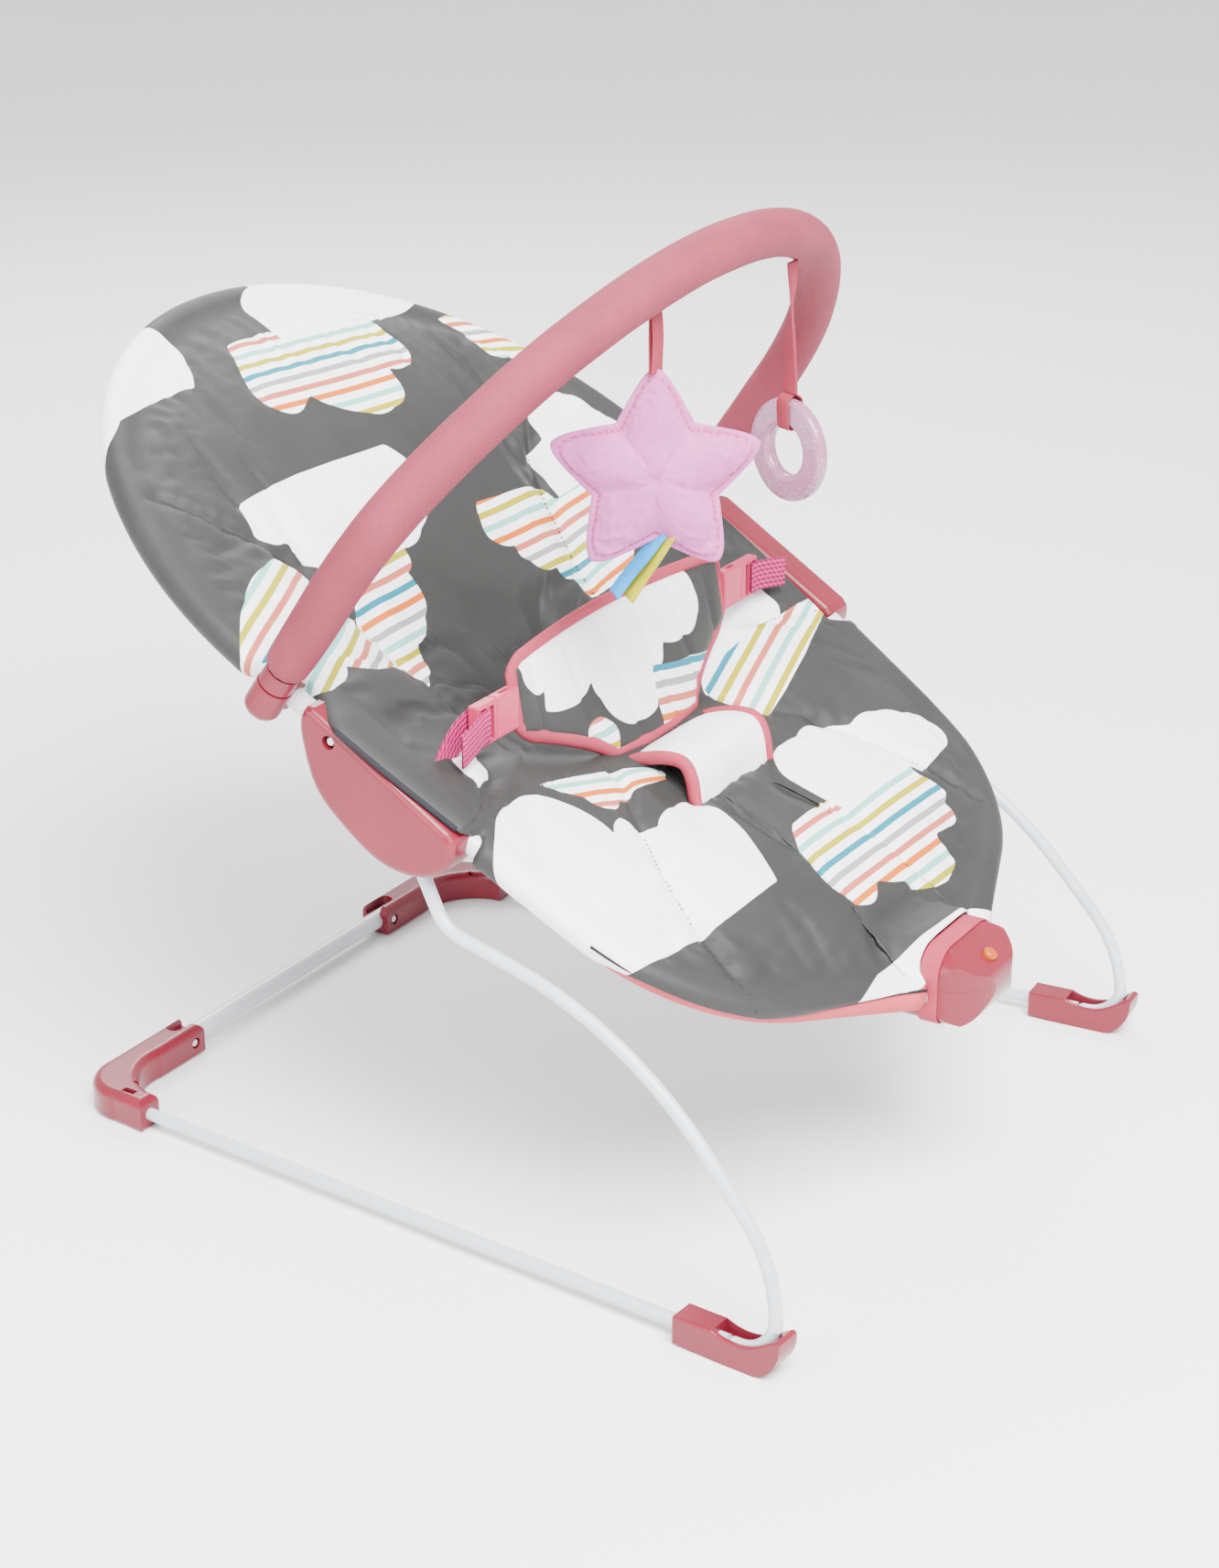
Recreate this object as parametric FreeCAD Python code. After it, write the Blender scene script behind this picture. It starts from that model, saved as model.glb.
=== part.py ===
import FreeCAD, Part
import os
from math import atan2, cos, degrees, hypot, pi, radians, sin, sqrt, tan

V = FreeCAD.Vector

# Baby bouncer seat. All lengths in millimetres, angles in degrees.
# +Z up, the foot end towards -Y, the head end towards +Y.  Left and right are
# those of the child in the seat: left is +X, right is -X.
# The origin is on the floor, midway between the two side housings.

# ---------------------------------------------------------------- driving dimensions
# Base
rear_bar_y = 249.4           # rear crossbar, behind the origin
rear_half_width = 200.0      # where crossbar and floor rod centre lines meet
front_half_width = 238.7     # floor rods at the front bend
floor_line_z = 10.0          # centre line of everything that lies on the floor
rod_d = 8.0                  # spring steel rod
crossbar_d = 12.7
crossbar_wall = 1.2
# Spring legs
bend_front_y = -267.9        # foremost line of the front bend
hinge_y = -242.4             # where the leg rod starts to bend up
knee_z = 61.3                # top of the upright stretch
shin_corner = (-168.1, 176.0)
kink_corner = (-43.4, 207.5)
leg_end = (-14.0, 262.5)
leg_lean = 5.0               # legs lean inwards
front_bend_r = 23.0
knee_r = 92.0
shin_r = 262.0
kink_r = 25.0
# Seat frame
hub_z = 295.6                # height of the tube ends inside the housings
hub_half_width = 222.0
seat_slope = 32.0            # frame above the horizontal
seat_tube_d = 12.7
seat_tube_wall = 1.2
head_centre_s = 109.0        # centre of the round head end, up the slope
head_r = 229.0
head_toe_in = 4.0            # head tube legs close towards the housings
foot_toe_in = 6.4
toe_corner_s = 310.0         # where the two toe runs would meet
toe_angle = 24.0             # toe runs away from square across
foot_corner_r = 140.0
toe_r = 68.0
tube_end_gap = 6.0           # between head and foot tube ends, in the housing
# Side housings
housing_inner_x = 209.0
housing_split_x = 222.0
housing_outer_x = 236.0
housing_wall = 2.5
housing_top_h = 9.0
housing_edge_r = 5.0
# Toy bar
clip_s = 71.0                # clips on the head tube, up the slope
cup_half_width = 241.0
cup_d = 22.0
cup_length = 22.0
cup_bore_d = 12.0
bar_lean = 35.0              # arch leans forward of the vertical
bar_rise = 277.6             # socket to top of the arch, along the arch plane
bar_shoulder_t = 88.0        # where the upright ends of the arch start to curve
bar_shoulder_r = 130.0
bar_sleeve_d = 29.0
bar_core_d = 12.0
bar_sleeve_start = 21.0      # sleeve ends this far above the socket point
# Toys
star_x = -76.0
star_centre_z = 442.0
star_r = 66.0
star_inner_share = 0.50      # notch radius over tip radius of a puffed star
star_thickness = 24.0
star_turn = -58.0            # star's width, turned about the vertical
ribbon_w = 10.0
ribbon_l = 46.0
teether_x = 85.0
ring_d = 64.0
ring_hole_d = 31.0
ring_thickness = 9.0
ring_centre_z = 417.0
ring_turn = -20.0            # ring's axis, turned from +X about the vertical
toy_strap_w = 12.5
toy_strap_t = 1.6
# Vibration unit
unit_half_width = 36.0
unit_rear_y = -221.5
unit_front_y = -287.0
unit_bottom_z = 122.0
unit_split_z = 145.0
unit_top_z = 167.0
unit_wall = 2.0
unit_top_r = 17.0            # rounding seen from the front
unit_low_r = 9.0
battery_d = 14.5
battery_l = 50.5
motor_d = 12.5
motor_l = 24.0
motor_shaft_d = 2.0
power_button_d = 9.0
power_button_travel = 2.0
# Soft parts
pad_thickness = 10.0
pad_edge_h = 7.5             # top of the pad over the tube line, at its edge
cushion_split_s = -48.0      # seam between back and base cushions
crotch_width = 94.0
panel_thickness = 9.0
webbing_w = 20.0
webbing_t = 1.5
hem_t = 1.5                  # cover folded round the tubes
hem_start_s = 85.0           # head hem begins here, above the clips
foot_hem_start_s = -75.0
# Clearances
rod_fit = 0.15               # radial, rods and tubes in mouldings
soft_gap = 0.3               # soft pieces from their neighbours
slide_gap = 0.3
face_gap = 0.1               # two mouldings that meet
bounce_gap = 1.9             # leg rod in the trough of the front foot

rod_r = rod_d / 2
crossbar_r = crossbar_d / 2
seat_tube_r = seat_tube_d / 2

# How deep the seat hangs between its tubes, along the slope from the housings
dish_depths = [
    (334, 3), (254, 13), (206, 22), (159, 32), (112, 44), (65, 54), (18, 58),
    (-12, 55), (-53, 38), (-82, 24), (-112, 14), (-160, 6), (-220, 3), (-310, 1),
]

made = {}


# ---------------------------------------------------------------- helpers
def node(name, *solids):
    """Keep the solids of one named sub-part."""
    made[name] = Part.makeCompound(list(solids)) if len(solids) > 1 else solids[0]


def mirrored(solid):
    return solid.mirror(V(0, 0, 0), V(1, 0, 0))


def twins(name, solid):
    """One sub-part made of a left-hand solid and its mirror image."""
    node(name, solid, mirrored(solid))


def pair(name, solid):
    """A left-hand sub-part and its mirror image."""
    node(name + "_left", solid)
    node(name + "_right", mirrored(solid))


def rounded_path(points, radii):
    """Straight runs joined by tangent arcs; radii belong to the inner points."""
    edges = []
    last = points[0]
    for before, corner, after, radius in zip(points, points[1:], points[2:], radii):
        into = (corner - before).normalize()
        out = (after - corner).normalize()
        turn = into.getAngle(out)
        reach = radius * tan(turn / 2)
        start = corner - into * reach
        end = corner + out * reach
        inward = (out - into).normalize()
        middle = corner + inward * (radius / cos(turn / 2) - radius)
        edges.append(Part.makeLine(last, start))
        edges.append(Part.Arc(start, middle, end).toShape())
        last = end
    edges.append(Part.makeLine(last, points[-1]))
    return Part.Wire(edges)


def swept(path, radius):
    """A round bar along a wire."""
    first = path.OrderedEdges[0]
    start = first.valueAt(first.FirstParameter)
    along = first.tangentAt(first.FirstParameter)
    section = Part.Wire(Part.makeCircle(radius, start, along))
    return path.makePipeShell([section], True, True)


def swept_tube(path, radius, wall):
    return swept(path, radius).cut(swept(path, radius - wall))


def cylinder(radius, start, end):
    along = end - start
    return Part.makeCylinder(radius, along.Length, start, along)


def box(low, high):
    return Part.makeBox(high[0] - low[0], high[1] - low[1], high[2] - low[2], V(*low))


def slab(outline, thickness_vector):
    """A flat outline (list of corners) given a thickness."""
    wire = Part.makePolygon(list(outline) + [outline[0]])
    return Part.Face(wire).extrude(thickness_vector)


def fused(solids):
    return solids[0].multiFuse(solids[1:]).removeSplitter() if len(solids) > 1 else solids[0]


def one_solid(shape):
    """The largest solid of a boolean result."""
    return max(shape.Solids, key=lambda solid: solid.Volume)


def seat_point(x, s, h=0.0):
    """A point s up the slope from the housing datum and h square above it."""
    a = radians(seat_slope)
    return V(x, s * cos(a) - h * sin(a), hub_z + s * sin(a) + h * cos(a))


def slope_slab(low_s, high_s, half_width=400.0):
    """Everything between two stations on the slope."""
    corners = [(low_s, -200), (high_s, -200), (high_s, 200), (low_s, 200)]
    return slab([seat_point(-half_width, s, h) for s, h in corners], V(2 * half_width, 0, 0))


def floor_rod_x(y):
    share = (rear_bar_y - y) / (rear_bar_y - hinge_y)
    return rear_half_width + (front_half_width - rear_half_width) * share


def leg_x(z):
    return floor_rod_x(bend_front_y) - (z - floor_line_z) * tan(radians(leg_lean))


# ---------------------------------------------------------------- base
crossbar_end_x = rear_half_width - 18.0
elbow_ear_x = 104.0
elbow_height = 21.0
elbow_half = 11.0
elbow_rod_reach = 47.0       # moulding runs this far forward along the floor rod
elbow_inner_r = 46.0
elbow_rod_half = 9.0
snap_x = elbow_ear_x + 9.0   # spring button in the ear
snap_d = 6.0
snap_travel = 3.5
snap_proud = 4.0             # button above the tube


def rear_crossbar():
    start = V(-crossbar_end_x, rear_bar_y, floor_line_z)
    end = V(crossbar_end_x, rear_bar_y, floor_line_z)
    tube = cylinder(crossbar_r, start, end).cut(cylinder(crossbar_r - crossbar_wall, start, end))
    for side in (-1, 1):
        centre = V(side * snap_x, rear_bar_y, floor_line_z)
        tube = tube.cut(cylinder(snap_d / 2 + slide_gap, centre, centre - V(0, crossbar_d, 0)))
    return tube


def floor_rod():
    start = V(floor_rod_x(rear_bar_y - 8), rear_bar_y - 8, floor_line_z)
    end_y = hinge_y + rod_r + slide_gap
    return cylinder(rod_r, start, V(floor_rod_x(end_y), end_y, floor_line_z))


def elbow():
    """L-shaped corner moulding: crossbar socket one way, floor rod socket the other."""
    tip_y = rear_bar_y - elbow_rod_reach
    rod_x = floor_rod_x(tip_y)
    outer_x = rod_x + elbow_rod_half
    inner_x = rod_x - elbow_rod_half
    back = rear_bar_y + elbow_half
    front = rear_bar_y - elbow_half
    corner_x = rear_half_width + elbow_rod_half
    curve_y = front - elbow_inner_r * 0.62
    curve_x = inner_x - elbow_inner_r
    edges = [
        Part.makeLine(V(elbow_ear_x, back, 0), V(corner_x - 34, back, 0)),
        Part.Arc(V(corner_x - 34, back, 0), V(corner_x - 8, back - 9, 0),
                 V(corner_x + 1, back - 34, 0)).toShape(),
        Part.makeLine(V(corner_x + 1, back - 34, 0), V(outer_x, tip_y, 0)),
        Part.makeLine(V(outer_x, tip_y, 0), V(inner_x, tip_y, 0)),
        Part.makeLine(V(inner_x, tip_y, 0), V(inner_x - 1, curve_y, 0)),
        Part.Arc(V(inner_x - 1, curve_y, 0), V(inner_x - 13, front - 9, 0),
                 V(curve_x, front, 0)).toShape(),
        Part.makeLine(V(curve_x, front, 0), V(elbow_ear_x, front, 0)),
        Part.makeLine(V(elbow_ear_x, front, 0), V(elbow_ear_x, back, 0)),
    ]
    body = Part.Face(Part.Wire(edges)).extrude(V(0, 0, elbow_height))
    top = [e for e in body.Edges if e.BoundBox.ZMin > elbow_height - 0.01]
    body = body.makeFillet(6.0, top)
    low = [e for e in body.Edges if e.BoundBox.ZMax < 0.01]
    body = body.makeFillet(2.5, low)
    bar_centre = V(0, rear_bar_y, floor_line_z)
    body = body.cut(cylinder(crossbar_r + rod_fit, bar_centre, bar_centre + V(crossbar_end_x + face_gap, 0, 0)))
    rod_start = V(floor_rod_x(rear_bar_y - 8 + face_gap), rear_bar_y - 8 + face_gap, floor_line_z)
    rod_end = V(floor_rod_x(tip_y - 5), tip_y - 5, floor_line_z)
    body = body.cut(cylinder(rod_r + rod_fit, rod_start, rod_end))
    # the sleeve mouth is forked on top, with a round ear on its front side
    fork = box((elbow_ear_x - 1, rear_bar_y - 4, floor_line_z + 4), (elbow_ear_x + 14, rear_bar_y + 8, 30))
    fork = fork.fuse(cylinder(6, V(elbow_ear_x + 14, rear_bar_y + 2, 8), V(elbow_ear_x + 14, rear_bar_y + 2, 30)))
    body = body.cut(fork)
    ear = V(snap_x, rear_bar_y, floor_line_z)
    body = body.cut(cylinder(snap_d / 2 + 0.8, ear, ear - V(0, 30, 0)))
    # snap windows over the floor rod
    window_y = tip_y + 17
    window_x = floor_rod_x(window_y)
    body = body.cut(box((window_x - 2.5, window_y - 5, floor_line_z), (window_x + 2.5, window_y + 5, 30)))
    body = body.cut(box((window_x - 14, window_y - 3, elbow_height - 3), (window_x - 11, window_y + 7, 30)))
    return one_solid(body)


def crossbar_snap():
    """Domed spring button that stands out of the crossbar through the ear."""
    base = V(snap_x, rear_bar_y - crossbar_r + crossbar_wall + slide_gap, floor_line_z)
    top_y = rear_bar_y - crossbar_r - snap_proud
    return button(base, V(snap_x, top_y, floor_line_z), snap_d / 2)


def button(base, top, radius):
    """A round pin with a wider seat at its foot and a rounded top."""
    pin = cylinder(radius, base, top)
    crown = [e for e in pin.Edges if (e.BoundBox.Center - top).Length < 0.1]
    return pin.makeFillet(radius * 0.45, crown)


def leaf_spring(seat, press, half_length, gap):
    """V-shaped strip spring behind a button, lying along the tube."""
    along = half_length
    deep = seat + press * gap
    side = along.cross(press).normalize() * 2.0
    strips = []
    for near in (deep, seat):
        start = deep + along * 2.0
        stop = near - along * 0.4
        lift = press * 0.5
        outline = [start - side, start + side, stop + side, stop - side]
        strips.append(slab(outline, lift))
    return fused(strips)


def crossbar_snap_springs():
    seat = V(snap_x, rear_bar_y - crossbar_r + crossbar_wall + slide_gap + 0.6, floor_line_z)
    spring = leaf_spring(seat, V(0, 1, 0), V(-9, 0, 0), 7.0)
    return spring, mirrored(spring)


foot_sleeve_rear_y = hinge_y + 36.0
foot_slot_y = hinge_y + 10.4
foot_half = 9.0
foot_top_z = 18.6
tongue_tip = (bend_front_y - rod_r - 5.0, 27.0)


def front_foot():
    """Clip under the front bend: a sleeve, then an open trough with an upturned tip."""
    tip_y, tip_z = tongue_tip
    side = [
        Part.makeLine(V(0, foot_sleeve_rear_y, 1.5), V(0, foot_sleeve_rear_y, foot_top_z)),
        Part.makeLine(V(0, foot_sleeve_rear_y, foot_top_z), V(0, foot_slot_y, foot_top_z)),
        Part.Arc(V(0, foot_slot_y, foot_top_z), V(0, hinge_y - 6, foot_top_z - 3.2),
                 V(0, hinge_y - 20, foot_top_z + 1.0)).toShape(),
        Part.makeLine(V(0, hinge_y - 20, foot_top_z + 1.0), V(0, tip_y + 2.6, tip_z)),
        Part.makeLine(V(0, tip_y + 2.6, tip_z), V(0, tip_y, tip_z - 1.5)),
        Part.Arc(V(0, tip_y, tip_z - 1.5), V(0, tip_y + 4.0, 9.5), V(0, tip_y + 17, 0)).toShape(),
        Part.makeLine(V(0, tip_y + 17, 0), V(0, hinge_y + 4, 0)),
        Part.makeLine(V(0, hinge_y + 4, 0), V(0, foot_sleeve_rear_y, 1.5)),
    ]
    body = Part.Face(Part.Wire(side)).extrude(V(2 * foot_half, 0, 0))
    body.translate(V(-foot_half, 0, 0))
    upper = [e for e in body.Edges if e.BoundBox.XLength < 0.01 and e.BoundBox.ZMin > foot_top_z - 4]
    body = body.makeFillet(1.5, [e for e in upper if e.BoundBox.YLength > 20])
    sleeve = cylinder(rod_r + rod_fit, V(0, foot_sleeve_rear_y + 5, floor_line_z), V(0, foot_slot_y, floor_line_z))
    room = rod_r + bounce_gap
    bend = [
        V(0, foot_slot_y, floor_line_z),
        V(0, bend_front_y, floor_line_z),
        V(0, bend_front_y, knee_z),
    ]
    trough = swept(rounded_path(bend, [front_bend_r]), room)
    slot = box((-room - 1.3, bend_front_y, floor_line_z), (room, foot_slot_y, 60))
    body = body.cut(sleeve).cut(trough).cut(slot)
    turn = atan2(front_half_width - rear_half_width, rear_bar_y - hinge_y)
    body.rotate(V(0, hinge_y, 0), V(0, 0, 1), degrees(turn))
    body.translate(V(front_half_width, 0, 0))
    return one_solid(body)


# ---------------------------------------------------------------- spring legs
def leg_points():
    corners = [(bend_front_y, floor_line_z), (bend_front_y, knee_z), shin_corner, kink_corner, leg_end]
    start = V(floor_rod_x(hinge_y), hinge_y, floor_line_z)
    return [start] + [V(leg_x(z), y, z) for y, z in corners]


def leg_rod():
    route = rounded_path(leg_points(), [front_bend_r, knee_r, shin_r, kink_r])
    rod = swept(route, rod_r)
    ball = Part.makeSphere(rod_r, leg_points()[0])
    return rod.fuse(ball)


# ---------------------------------------------------------------- seat frame tubes
def head_half_width(s, inset=0.0):
    """Half the width between the head tube's centre lines at s."""
    radius = head_r - inset
    leave = head_centre_s - head_r * sin(radians(head_toe_in))
    if s > leave:
        return sqrt(max(radius ** 2 - (s - head_centre_s) ** 2, 0.0))
    return head_r * cos(radians(head_toe_in)) - (leave - s) * tan(radians(head_toe_in)) - inset


def foot_half_width(s):
    """Half the width between the foot tube's centre lines at s, its corner left sharp."""
    leg = hub_half_width + (s + tube_end_gap / 2) * tan(radians(foot_toe_in))
    toe = (toe_corner_s + s) / tan(radians(toe_angle))
    return min(leg, toe)


def head_tube_path():
    a = radians(head_toe_in)
    leave_s = head_centre_s - head_r * sin(a)
    leave_x = head_r * cos(a)
    end_s = tube_end_gap / 2
    end_x = head_half_width(end_s)
    left_end = seat_point(end_x, end_s)
    left = seat_point(leave_x, leave_s)
    top = seat_point(0, head_centre_s + head_r)
    right = seat_point(-leave_x, leave_s)
    right_end = seat_point(-end_x, end_s)
    edges = [Part.makeLine(left_end, left), Part.Arc(left, top, right).toShape(), Part.makeLine(right, right_end)]
    return Part.Wire(edges)


def foot_tube_path():
    start_s = -tube_end_gap / 2
    t_leg = tan(radians(foot_toe_in))
    t_toe = tan(radians(toe_angle))
    reach = (toe_corner_s + start_s - hub_half_width * t_toe) / (1 - t_leg * t_toe)
    corner_x = hub_half_width - reach * t_leg
    corner_s = start_s - reach
    half = [(hub_half_width, start_s), (corner_x, corner_s), (0, -toe_corner_s)]
    points = [seat_point(x, s) for x, s in half]
    points += [seat_point(-x, s) for x, s in reversed(half[:-1])]
    return rounded_path(points, [foot_corner_r, toe_r, foot_corner_r])


def snap_hole(centre, direction, reach):
    return cylinder(snap_d / 2 + slide_gap, centre, centre + direction * reach)


head_snap_s = 28.0
foot_snap_s = -29.0


def head_snap_centre():
    return seat_point(head_half_width(head_snap_s), head_snap_s)


def foot_snap_centre():
    return seat_point(foot_half_width(foot_snap_s), foot_snap_s)


def head_tube():
    tube = swept_tube(head_tube_path(), seat_tube_r, seat_tube_wall)
    hole = snap_hole(head_snap_centre(), V(1, 0, 0), seat_tube_d)
    return tube.cut(hole).cut(mirrored(hole))


def foot_tube():
    tube = swept_tube(foot_tube_path(), seat_tube_r, seat_tube_wall)
    hole = snap_hole(foot_snap_centre(), V(-1, 0, 0), seat_tube_d)
    return tube.cut(hole).cut(mirrored(hole))


def hub_snap(centre, outward):
    bore_r = seat_tube_r - seat_tube_wall
    base = centre + outward * (bore_r - slide_gap)
    return button(base, centre + outward * (seat_tube_r + snap_proud), snap_d / 2)


def hub_snap_springs():
    bore_r = seat_tube_r - seat_tube_wall
    springs = []
    up_slope = seat_point(0, 1) - seat_point(0, 0)
    for centre, way, toe_in in ((head_snap_centre(), 1, head_toe_in), (foot_snap_centre(), -1, foot_toe_in)):
        outward = V(way, 0, 0)
        along = (up_slope * cos(radians(toe_in)) + V(sin(radians(toe_in)), 0, 0)) * way
        seat = centre + outward * (bore_r - slide_gap - 0.6)
        spring = leaf_spring(seat, outward * -1, along * 8.0, 7.0)
        springs += [spring, mirrored(spring)]
    return springs


# ---------------------------------------------------------------- side housings
housing_rim = [
    (51, 7), (51, -2), (42, -15), (22, -32), (-7, -39.5), (-34, -40), (-54, -32), (-67, -17),
    (-69, -3), (-64, 7),
]
screw_places = [(28, -22), (-8, -30), (-56, -14)]
screw_d = 3.0
screw_head_d = 6.0


def housing_outline(inset=0.0):
    """The leaf-shaped outline of a housing, at x = 0, drawn in by an amount."""
    middle_s, middle_h = -8.0, -12.0
    rim = []
    for s, h in housing_rim:
        share = 1 - inset / hypot(s - middle_s, h - middle_h)
        rim.append(seat_point(0, middle_s + (s - middle_s) * share, middle_h + (h - middle_h) * share))
    curve = Part.BSplineCurve()
    curve.interpolate(rim)
    top_rear = seat_point(0, 47 - inset, housing_top_h - inset)
    top_front = seat_point(0, -59 + inset, housing_top_h - inset)
    edges = [
        Part.makeLine(top_rear, rim[0]),
        curve.toShape(),
        Part.makeLine(rim[-1], top_front),
        Part.makeLine(top_front, top_rear),
    ]
    return Part.Face(Part.Wire(edges))


def prism(face, low_x, high_x):
    solid = face.extrude(V(high_x - low_x, 0, 0))
    solid.translate(V(low_x, 0, 0))
    return solid


def housing_bosses():
    """Solid blocks inside the housing round the tubes, the leg rod and the screws."""
    reach = seat_tube_r + housing_wall
    low, high = housing_inner_x - 1, housing_outer_x + 1
    corners = [(60, -reach), (-80, -reach), (-80, 20), (60, 20)]
    outline = [seat_point(low, s, h) for s, h in corners]
    blocks = [slab(outline, V(high - low, 0, 0))]
    points = leg_points()
    along = (points[-1] - points[-2]).normalize()
    end = points[-1] + along * housing_wall
    blocks.append(cylinder(rod_r + 3.5, end - along * 60, end))
    for s, h in screw_places:
        blocks.append(cylinder(screw_d + 1.2, seat_point(low, s, h), seat_point(high, s, h)))
    return blocks


def housing_bores():
    ends = leg_points()
    along = (ends[-1] - ends[-2]).normalize()
    bores = [cylinder(rod_r + rod_fit, ends[-1] - along * 60, ends[-1] + along * face_gap)]
    for path in (head_tube_path(), foot_tube_path()):
        first = path.OrderedEdges[0]
        start = first.valueAt(first.FirstParameter)
        run = first.tangentAt(first.FirstParameter)
        bores.append(cylinder(seat_tube_r + rod_fit, start - run * face_gap, start + run * 90))
    return bores


def housing_half(low_x, high_x, wall_at_high):
    solid = prism(housing_outline(), low_x, high_x)
    face_x = high_x if wall_at_high else low_x
    rim = [e for e in solid.Edges if e.BoundBox.XLength < 0.01 and abs(e.BoundBox.XMin - face_x) < 0.01]
    solid = solid.makeFillet(housing_edge_r, rim)
    inner_low = low_x - 1 if wall_at_high else low_x + housing_wall
    inner_high = high_x - housing_wall if wall_at_high else high_x + 1
    cavity = prism(housing_outline(housing_wall), inner_low, inner_high)
    cavity = cavity.cut(fused(housing_bosses()))
    solid = solid.cut(cavity)
    for bore in housing_bores():
        solid = solid.cut(bore)
    return solid


def housing_outer():
    solid = housing_half(housing_split_x + face_gap / 2, housing_outer_x, True)
    centre = head_snap_centre()
    solid = solid.cut(cylinder(snap_d / 2 + 1.2, centre, centre + V(40, 0, 0)))
    for s, h in screw_places:
        pilot = cylinder(screw_d / 2, seat_point(housing_split_x, s, h), seat_point(housing_outer_x - 4, s, h))
        solid = solid.cut(pilot)
    return one_solid(solid)


def housing_inner():
    solid = housing_half(housing_inner_x, housing_split_x - face_gap / 2, False)
    centre = foot_snap_centre()
    solid = solid.cut(cylinder(snap_d / 2 + 1.2, centre, centre - V(40, 0, 0)))
    for s, h in screw_places:
        entry = seat_point(housing_inner_x - 1, s, h)
        solid = solid.cut(cylinder(screw_d / 2 + 0.2, entry, seat_point(housing_split_x + 1, s, h)))
        solid = solid.cut(cylinder(screw_head_d / 2 + 0.3, entry, seat_point(housing_inner_x + 4, s, h)))
    return one_solid(solid)


def screw(head_top, point, shank_r, head_r_, head_h):
    """Pan-head screw with a cross recess."""
    along = (point - head_top).normalize()
    head = cylinder(head_r_, head_top, head_top + along * head_h)
    shank = cylinder(shank_r, head_top + along * head_h, point)
    body = head.fuse(shank)
    across = along.cross(V(0.31, 0.52, 0.8)).normalize()
    other = along.cross(across)
    for way in (across, other):
        cut = [
            head_top + way * head_r_ * 0.6 + way.cross(along) * 0.4,
            head_top - way * head_r_ * 0.6 + way.cross(along) * 0.4,
            head_top - way * head_r_ * 0.6 - way.cross(along) * 0.4,
            head_top + way * head_r_ * 0.6 - way.cross(along) * 0.4,
        ]
        body = body.cut(slab(cut, along * (head_h * 0.6)))
    return one_solid(body)


def housing_screws():
    screws = []
    for s, h in screw_places:
        top = seat_point(housing_inner_x + 1.6, s, h)
        point = seat_point(housing_outer_x - 4.5, s, h)
        one = screw(top, point, screw_d / 2 - 0.02, screw_head_d / 2, 2.3)
        screws += [one, mirrored(one)]
    return screws


# ---------------------------------------------------------------- toy bar
bar_up = V(0, -sin(radians(bar_lean)), cos(radians(bar_lean)))


def bar_point(x, t):
    """A point in the plane of the arch, t above the socket."""
    foot = seat_point(x, clip_s)
    return foot + bar_up * t


def arch_top_r():
    """Radius of the crown arc that meets the shoulder arcs smoothly."""
    width = cup_half_width - bar_shoulder_r
    rise = bar_rise - bar_shoulder_t
    return (width ** 2 + rise ** 2 - bar_shoulder_r ** 2) / (2 * (rise - bar_shoulder_r))


def arch_edges(start_t):
    """The right half of the arch and its mirror image, as one run of edges."""
    crown = arch_top_r()
    side_centre = (cup_half_width - bar_shoulder_r, bar_shoulder_t)
    crown_centre_t = bar_rise - crown
    meet = atan2(side_centre[1] - crown_centre_t, side_centre[0])
    join = (crown * cos(meet), crown_centre_t + crown * sin(meet))
    middle = (side_centre[0] + bar_shoulder_r * cos(meet / 2), side_centre[1] + bar_shoulder_r * sin(meet / 2))
    points = [(cup_half_width, start_t), (cup_half_width, bar_shoulder_t), middle, join]

    def at(flat, side):
        return bar_point(side * flat[0], flat[1])

    edges = []
    edges.append(Part.makeLine(at(points[0], 1), at(points[1], 1)))
    edges.append(Part.Arc(at(points[1], 1), at(points[2], 1), at(points[3], 1)).toShape())
    edges.append(Part.Arc(at(join, 1), bar_point(0, bar_rise), at(join, -1)).toShape())
    edges.append(Part.Arc(at(points[3], -1), at(points[2], -1), at(points[1], -1)).toShape())
    edges.append(Part.makeLine(at(points[1], -1), at(points[0], -1)))
    return edges


def arch_height(x):
    """Height t of the arch's centre line where it passes x, on the crown arc."""
    crown = arch_top_r()
    return bar_rise - crown + sqrt(crown ** 2 - x ** 2)


cup_top_t = 9.0
peg_depth = 18.0
peg_r = cup_bore_d / 2 - slide_gap
collar_r = 10.6


def toy_bar_core():
    return swept(Part.Wire(arch_edges(bar_sleeve_start + face_gap)), bar_core_d / 2)


def toy_bar_sleeve():
    path = Part.Wire(arch_edges(bar_sleeve_start + face_gap))
    return swept(path, bar_sleeve_d / 2).cut(swept(path, bar_core_d / 2 + face_gap))


def bar_plug():
    peg = cylinder(peg_r, bar_point(cup_half_width, cup_top_t - peg_depth), bar_point(cup_half_width, cup_top_t + 1))
    collar_low = bar_point(cup_half_width, cup_top_t + slide_gap)
    collar = cylinder(collar_r, collar_low, bar_point(cup_half_width, bar_sleeve_start))
    rim = [e for e in collar.Edges if (e.BoundBox.Center - collar_low).Length < 0.1]
    collar = collar.makeFillet(1.2, rim)
    return collar.fuse(peg).removeSplitter()


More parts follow.
